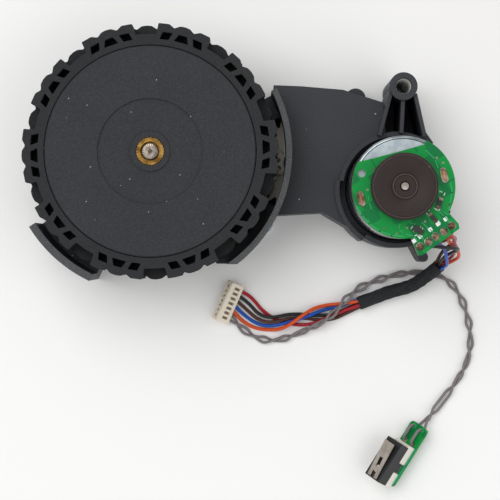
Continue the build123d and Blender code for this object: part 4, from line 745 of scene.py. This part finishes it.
def spline_curve(name, points, radius=0.0):
    """A smooth cord: one open spline with the route's points as its control points."""
    data = bpy.data.curves.new(name, "CURVE")
    data.dimensions = "3D"
    data.resolution_u = 8
    spline = data.splines.new("NURBS")
    spline.points.add(len(points) - 1)
    for point, place in zip(spline.points, points):
        point.co = (place[0] * MM, place[1] * MM, place[2] * MM, 1.0)
    spline.order_u = 3
    spline.use_endpoint_u = True
    data.bevel_depth = radius * MM
    data.bevel_resolution = 6
    data.use_fill_caps = radius > 0
    return data


def spline_length(points):
    """A route's length along its spline and the places that the spline runs through, in metres."""
    bare = put("bare", spline_curve("bare", points))
    mesh = bpy.data.meshes.new_from_object(bare.evaluated_get(bpy.context.evaluated_depsgraph_get()))
    places = [v.co.copy() for v in mesh.vertices]
    bpy.data.objects.remove(bare)
    bpy.data.meshes.remove(mesh)
    return sum((b - a).length for a, b in zip(places, places[1:])), places


for name, points in ROUTES.items():
    wire = put(name + "_insulation", spline_curve(name, list(reversed(points)), WIRE_R))
    wire.data.materials.append(insulation[name])
    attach(wire, "housing")
    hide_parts(name)
    spline_length(points)[0]


def frames_along(places):
    """Places along a line, with two directions square to it that don't spin."""
    side = None
    out = []
    for i, here in enumerate(places):
        along = (places[min(i + 1, len(places) - 1)] - places[max(i - 1, 0)]).normalized()
        side = side - along * side.dot(along) if side else along.cross(UP)
        side.normalize()
        out.append((here, side.copy(), along.cross(side)))
    return out


def ring_about(work, here, side, over, radii):
    """A ring of vertices square to a line, one for each radius in mm."""
    angles = [math.tau * k / len(radii) for k in range(len(radii))]
    return [work.verts.new(here + (side * math.cos(a) + over * math.sin(a)) * radius * MM)
            for a, radius in zip(angles, radii)]


def skin(work, rings, closed_ends=True):
    """Faces between rings of vertices."""
    for low, high in zip(rings, rings[1:]):
        count = len(low)
        for k in range(count):
            work.faces.new((low[k], low[(k + 1) % count], high[(k + 1) % count], high[k]))
    if closed_ends:
        work.faces.new(list(reversed(rings[0])))
        work.faces.new(rings[-1])


# Two strands loosely twisted: they cross every 5.8 mm and stand apart between, then run side by side
# for the last 9 mm to the switch's leads
STRAND_R, STRAND_SIDES = 0.42, 12
HALF_TURN, OPEN_END = 5.8, 9.0
# Half the distance between the strands' middles, where they cross and where they lie side by side
CROSS_GAP, SIDE_GAP = 0.43, 0.76
# How far from its end each strand bends towards its lead, how far it goes in, and the leads' ends
LEAD_BEND, LEAD_IN = 4.5 * MM, 0.7 * MM
LEAD_TAILS = (Vector((8.326, -95.225, 1.529)), Vector((8.893, -95.579, 2.132)))
length, places = spline_length(PAIR)
places.append(places[-1] + (places[-1] - places[-2]).normalized() * LEAD_IN)
travelled = [0.0]
for a, b in zip(places, places[1:]):
    travelled.append(travelled[-1] + (b - a).length)
half_turns = round((length / MM - OPEN_END) / HALF_TURN)
twist_end = length - OPEN_END * MM
work = bmesh.new()
for sign in (-1, 1):
    rings = []
    for (here, side, over), s in zip(frames_along(places), travelled):
        turn = math.pi * (0.5 + half_turns * min(s / twist_end, 1.0))
        wide = 0.64 + 0.2 * math.sin(1.7 * turn) if 0.06 < s / twist_end < 0.97 else SIDE_GAP
        core = here + (side * math.sin(turn) * wide + over * math.cos(turn) * CROSS_GAP) * sign * MM
        eastward = sign * math.sin(math.pi * (0.5 + half_turns)) * side.dot(EAST)
        tail = LEAD_TAILS[0 if eastward > 0 else 1] * MM
        near = min(max((s - (length - LEAD_BEND)) / LEAD_BEND, 0.0), 1.0)
        near = near * near * (3 - 2 * near)
        core = core.lerp(tail + (here - places[-1]), near)
        rings.append(ring_about(work, core, side, over, [STRAND_R] * STRAND_SIDES))
    skin(work, rings)
bmesh.ops.recalc_face_normals(work, faces=work.faces)
strands = finish_mesh("pair_strands", work, 60)
pair = mesh_object("wire_pair_strands", strands, grey_pvc, "housing")
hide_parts("wire_pair")

# The sleeve, a soft tube drawn over the five wires and slightly lumpy where they press
SLEEVE_OUT_R, SLEEVE_BORE_R, SLEEVE_SIDES = 1.9, 1.72, 32
places = spline_length(SLEEVE)[1]
work = bmesh.new()
rings, bore = [], []
for number, (here, side, over) in enumerate(frames_along(places)):
    radii = []
    for k in range(SLEEVE_SIDES):
        a = math.tau * k / SLEEVE_SIDES
        lump = 0.10 * math.sin(5 * a + number * 0.22) + 0.05 * math.sin(number * 0.9 + 2 * a)
        radii.append(SLEEVE_OUT_R + lump)
    rings.append(ring_about(work, here, side, over, radii))
    bore.append(ring_about(work, here, side, over, [SLEEVE_BORE_R] * SLEEVE_SIDES))
skin(work, rings, False)
skin(work, [list(reversed(ring)) for ring in bore], False)
for outer, inner in ((rings[0], bore[0]), (rings[-1], bore[-1])):
    for k in range(SLEEVE_SIDES):
        after = (k + 1) % SLEEVE_SIDES
        work.faces.new((outer[k], outer[after], inner[after], inner[k]))
bmesh.ops.recalc_face_normals(work, faces=work.faces)
tube = finish_mesh("sleeve_tube", work, 60)
sleeve = mesh_object("wire_sleeve_tube", tube, woven_sleeve, "housing")
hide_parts("wire_sleeve")


# ---------------------------------------------------------------- tyre

# Radii from the inside out, the turn of the first row, and the rows' lowest edge and height
TYRE_IN_R, TREAD_FLOOR_R, LUG_VALLEY_R, TYRE_R = 29.15, 32.1, 34.0, 35.15
LUG_GROUPS, TREAD_START = 10, 110.1
TYRE_LOW, TYRE_ROW = 15.4, 6.5
# The middle row has no pockets and a higher floor
PLAIN_FLOOR_R = TREAD_FLOOR_R + 0.95
# Pockets of the outer rows: outer radius and its two angles, inner radius and its two angles
POCKETS = [(32.8, -2.0, 2.0, 30.85, 3.75, -3.75), (32.85, 5.0, 9.8, 30.8, 11.2, 6.5),
           (32.85, -9.8, -5.0, 30.8, -6.5, -11.2)]
# Angles of a group's lugs from its middle: the outer lug's two edges, the valley and the middle lug's edge
LUG_OUT, LUG_IN, VALLEY, CROWN = 12.1, 7.2, 4.65, 2.35
INNER_STEPS, CORNER_STEPS = 12, 3


def sector(with_pockets):
    """A tenth of a row of tread as a slab without its two cut faces, with its group of lugs about +X."""
    half = 180 / LUG_GROUPS
    floor = TREAD_FLOOR_R if with_pockets else PLAIN_FLOOR_R
    side = [polar(floor, LUG_OUT + 0.7), polar(TYRE_R, LUG_OUT), polar(TYRE_R, LUG_IN),
            polar(LUG_VALLEY_R + 0.2, VALLEY), polar(TYRE_R - 0.1, CROWN)]
    lugs = [Vector((p.x, -p.y, 0)) for p in side] + [polar(TYRE_R + 0.05, 0)] + list(reversed(side))
    # Every corner is rounded but the two on the cuts
    first, last = polar(floor, -half), polar(floor, half)
    soft = rounded([first] + lugs + [last], 0.32, CORNER_STEPS)[CORNER_STEPS + 1:-CORNER_STEPS - 1]
    outer = [first] + soft + [last]
    inner = [polar(TYRE_IN_R, half - k * 2 * half / INNER_STEPS) for k in range(INNER_STEPS + 1)]
    holes = []
    if with_pockets:
        for r_out, a_out, b_out, r_in, b_in, a_in in POCKETS:
            corners = [polar(r_out, a_out), polar(r_out, b_out), polar(r_in, b_in), polar(r_in, a_in)]
            holes.append(rounded(corners, 0.22))
    loops = [outer + inner] + holes
    work = bmesh.new()
    low, high = [[[work.verts.new((p.x, p.y, height)) for p in loop] for loop in loops]
                 for height in (0.0, TYRE_ROW)]
    for store, flip in ((low, True), (high, False)):
        flat_list = [v for loop in store for v in loop]
        for a, b, c in tessellate_polygon(loops):
            face = (flat_list[a], flat_list[b], flat_list[c])
            work.faces.new(tuple(reversed(face)) if flip else face)
    seams = {(len(outer) - 1, len(outer)), (len(outer) + len(inner) - 1, 0)}
    for number, (a, b) in enumerate(zip(low, high)):
        for k in range(len(a)):
            n = (k + 1) % len(a)
            if number == 0 and (k, n) in seams:
                continue
            work.faces.new((a[k], a[n], b[n], b[k]))
    mesh = bpy.data.meshes.new("tread_sector")
    work.to_mesh(mesh)
    work.free()
    return mesh


def ring_tree(name, material):
    """A node tree that sets its geometry round an upright axis and joins the copies into one skin."""
    tree = bpy.data.node_groups.new(name, "GeometryNodeTree")
    for label, way, kind in (("Geometry", "INPUT", "Geometry"), ("Copies", "INPUT", "Int"),
                             ("Start angle", "INPUT", "Float"), ("Weld distance", "INPUT", "Float"),
                             ("Geometry", "OUTPUT", "Geometry")):
        tree.interface.new_socket(label, in_out=way, socket_type="NodeSocket" + kind)
    given = add(tree, "NodeGroupInput").outputs
    points = add(tree, "GeometryNodePoints", Count=given["Copies"])
    share = calc(tree, "DIVIDE", math.tau, given["Copies"])
    index = add(tree, "GeometryNodeInputIndex").outputs[0]
    spun = add(tree, "ShaderNodeCombineXYZ", Z=calc(tree, "MULTIPLY_ADD", index, share, given["Start angle"]))
    copies = add(tree, "GeometryNodeInstanceOnPoints", Points=points.outputs[0], Instance=given["Geometry"],
                 Rotation=spun.outputs[0])
    real = add(tree, "GeometryNodeRealizeInstances", Geometry=copies.outputs[0])
    joined = add(tree, "GeometryNodeMergeByDistance", Geometry=real.outputs[0],
                 Distance=given["Weld distance"])
    finished = add(tree, "GeometryNodeSetMaterial", Geometry=joined.outputs[0], Material=material)
    add(tree, "NodeGroupOutput", Geometry=finished.outputs[0])
    return tree


def ring_of(name, mesh, material, copies, start, weld=0.01):
    """A mesh repeated round the upright axis through the origin, as one plain mesh."""
    tree = ring_tree(name + "_tree", material)
    source = put(name, mesh)
    modifier = source.modifiers.new("ring", "NODES")
    modifier.node_group = tree
    sockets = {item.name: item.identifier for item in tree.interface.items_tree if item.in_out == "INPUT"}
    modifier[sockets["Copies"]] = copies
    modifier[sockets["Start angle"]] = math.radians(start)
    modifier[sockets["Weld distance"]] = weld
    made = bpy.data.meshes.new_from_object(source.evaluated_get(bpy.context.evaluated_depsgraph_get()))
    bpy.data.objects.remove(source)
    return made


tread = bmesh.new()
for row in range(3):
    made = ring_of("tread_row", sector(row != 1), tyre_rubber, LUG_GROUPS,
                   TREAD_START + (180 / LUG_GROUPS if row == 1 else 0))
    made.transform(Matrix.Translation((0, 0, TYRE_LOW + row * TYRE_ROW)))
    tread.from_mesh(made)
    bpy.data.meshes.remove(made)
bmesh.ops.recalc_face_normals(tread, faces=tread.faces)
tyre_mesh = bpy.data.meshes.new("tyre_tread")
tread.to_mesh(tyre_mesh)
tread.free()
tyre_mesh.transform(Matrix.Scale(MM, 4) @ Matrix.Translation(WHEEL))
tyre = mesh_object("tyre_tread", tyre_mesh, tyre_rubber, "wheel")
soften = tyre.modifiers.new("soft_edges", "BEVEL")
soften.width = 0.14 * MM
soften.segments = 2
soften.limit_method = "ANGLE"
soften.angle_limit = math.radians(40)
smooth(tyre_mesh)
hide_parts("tyre")
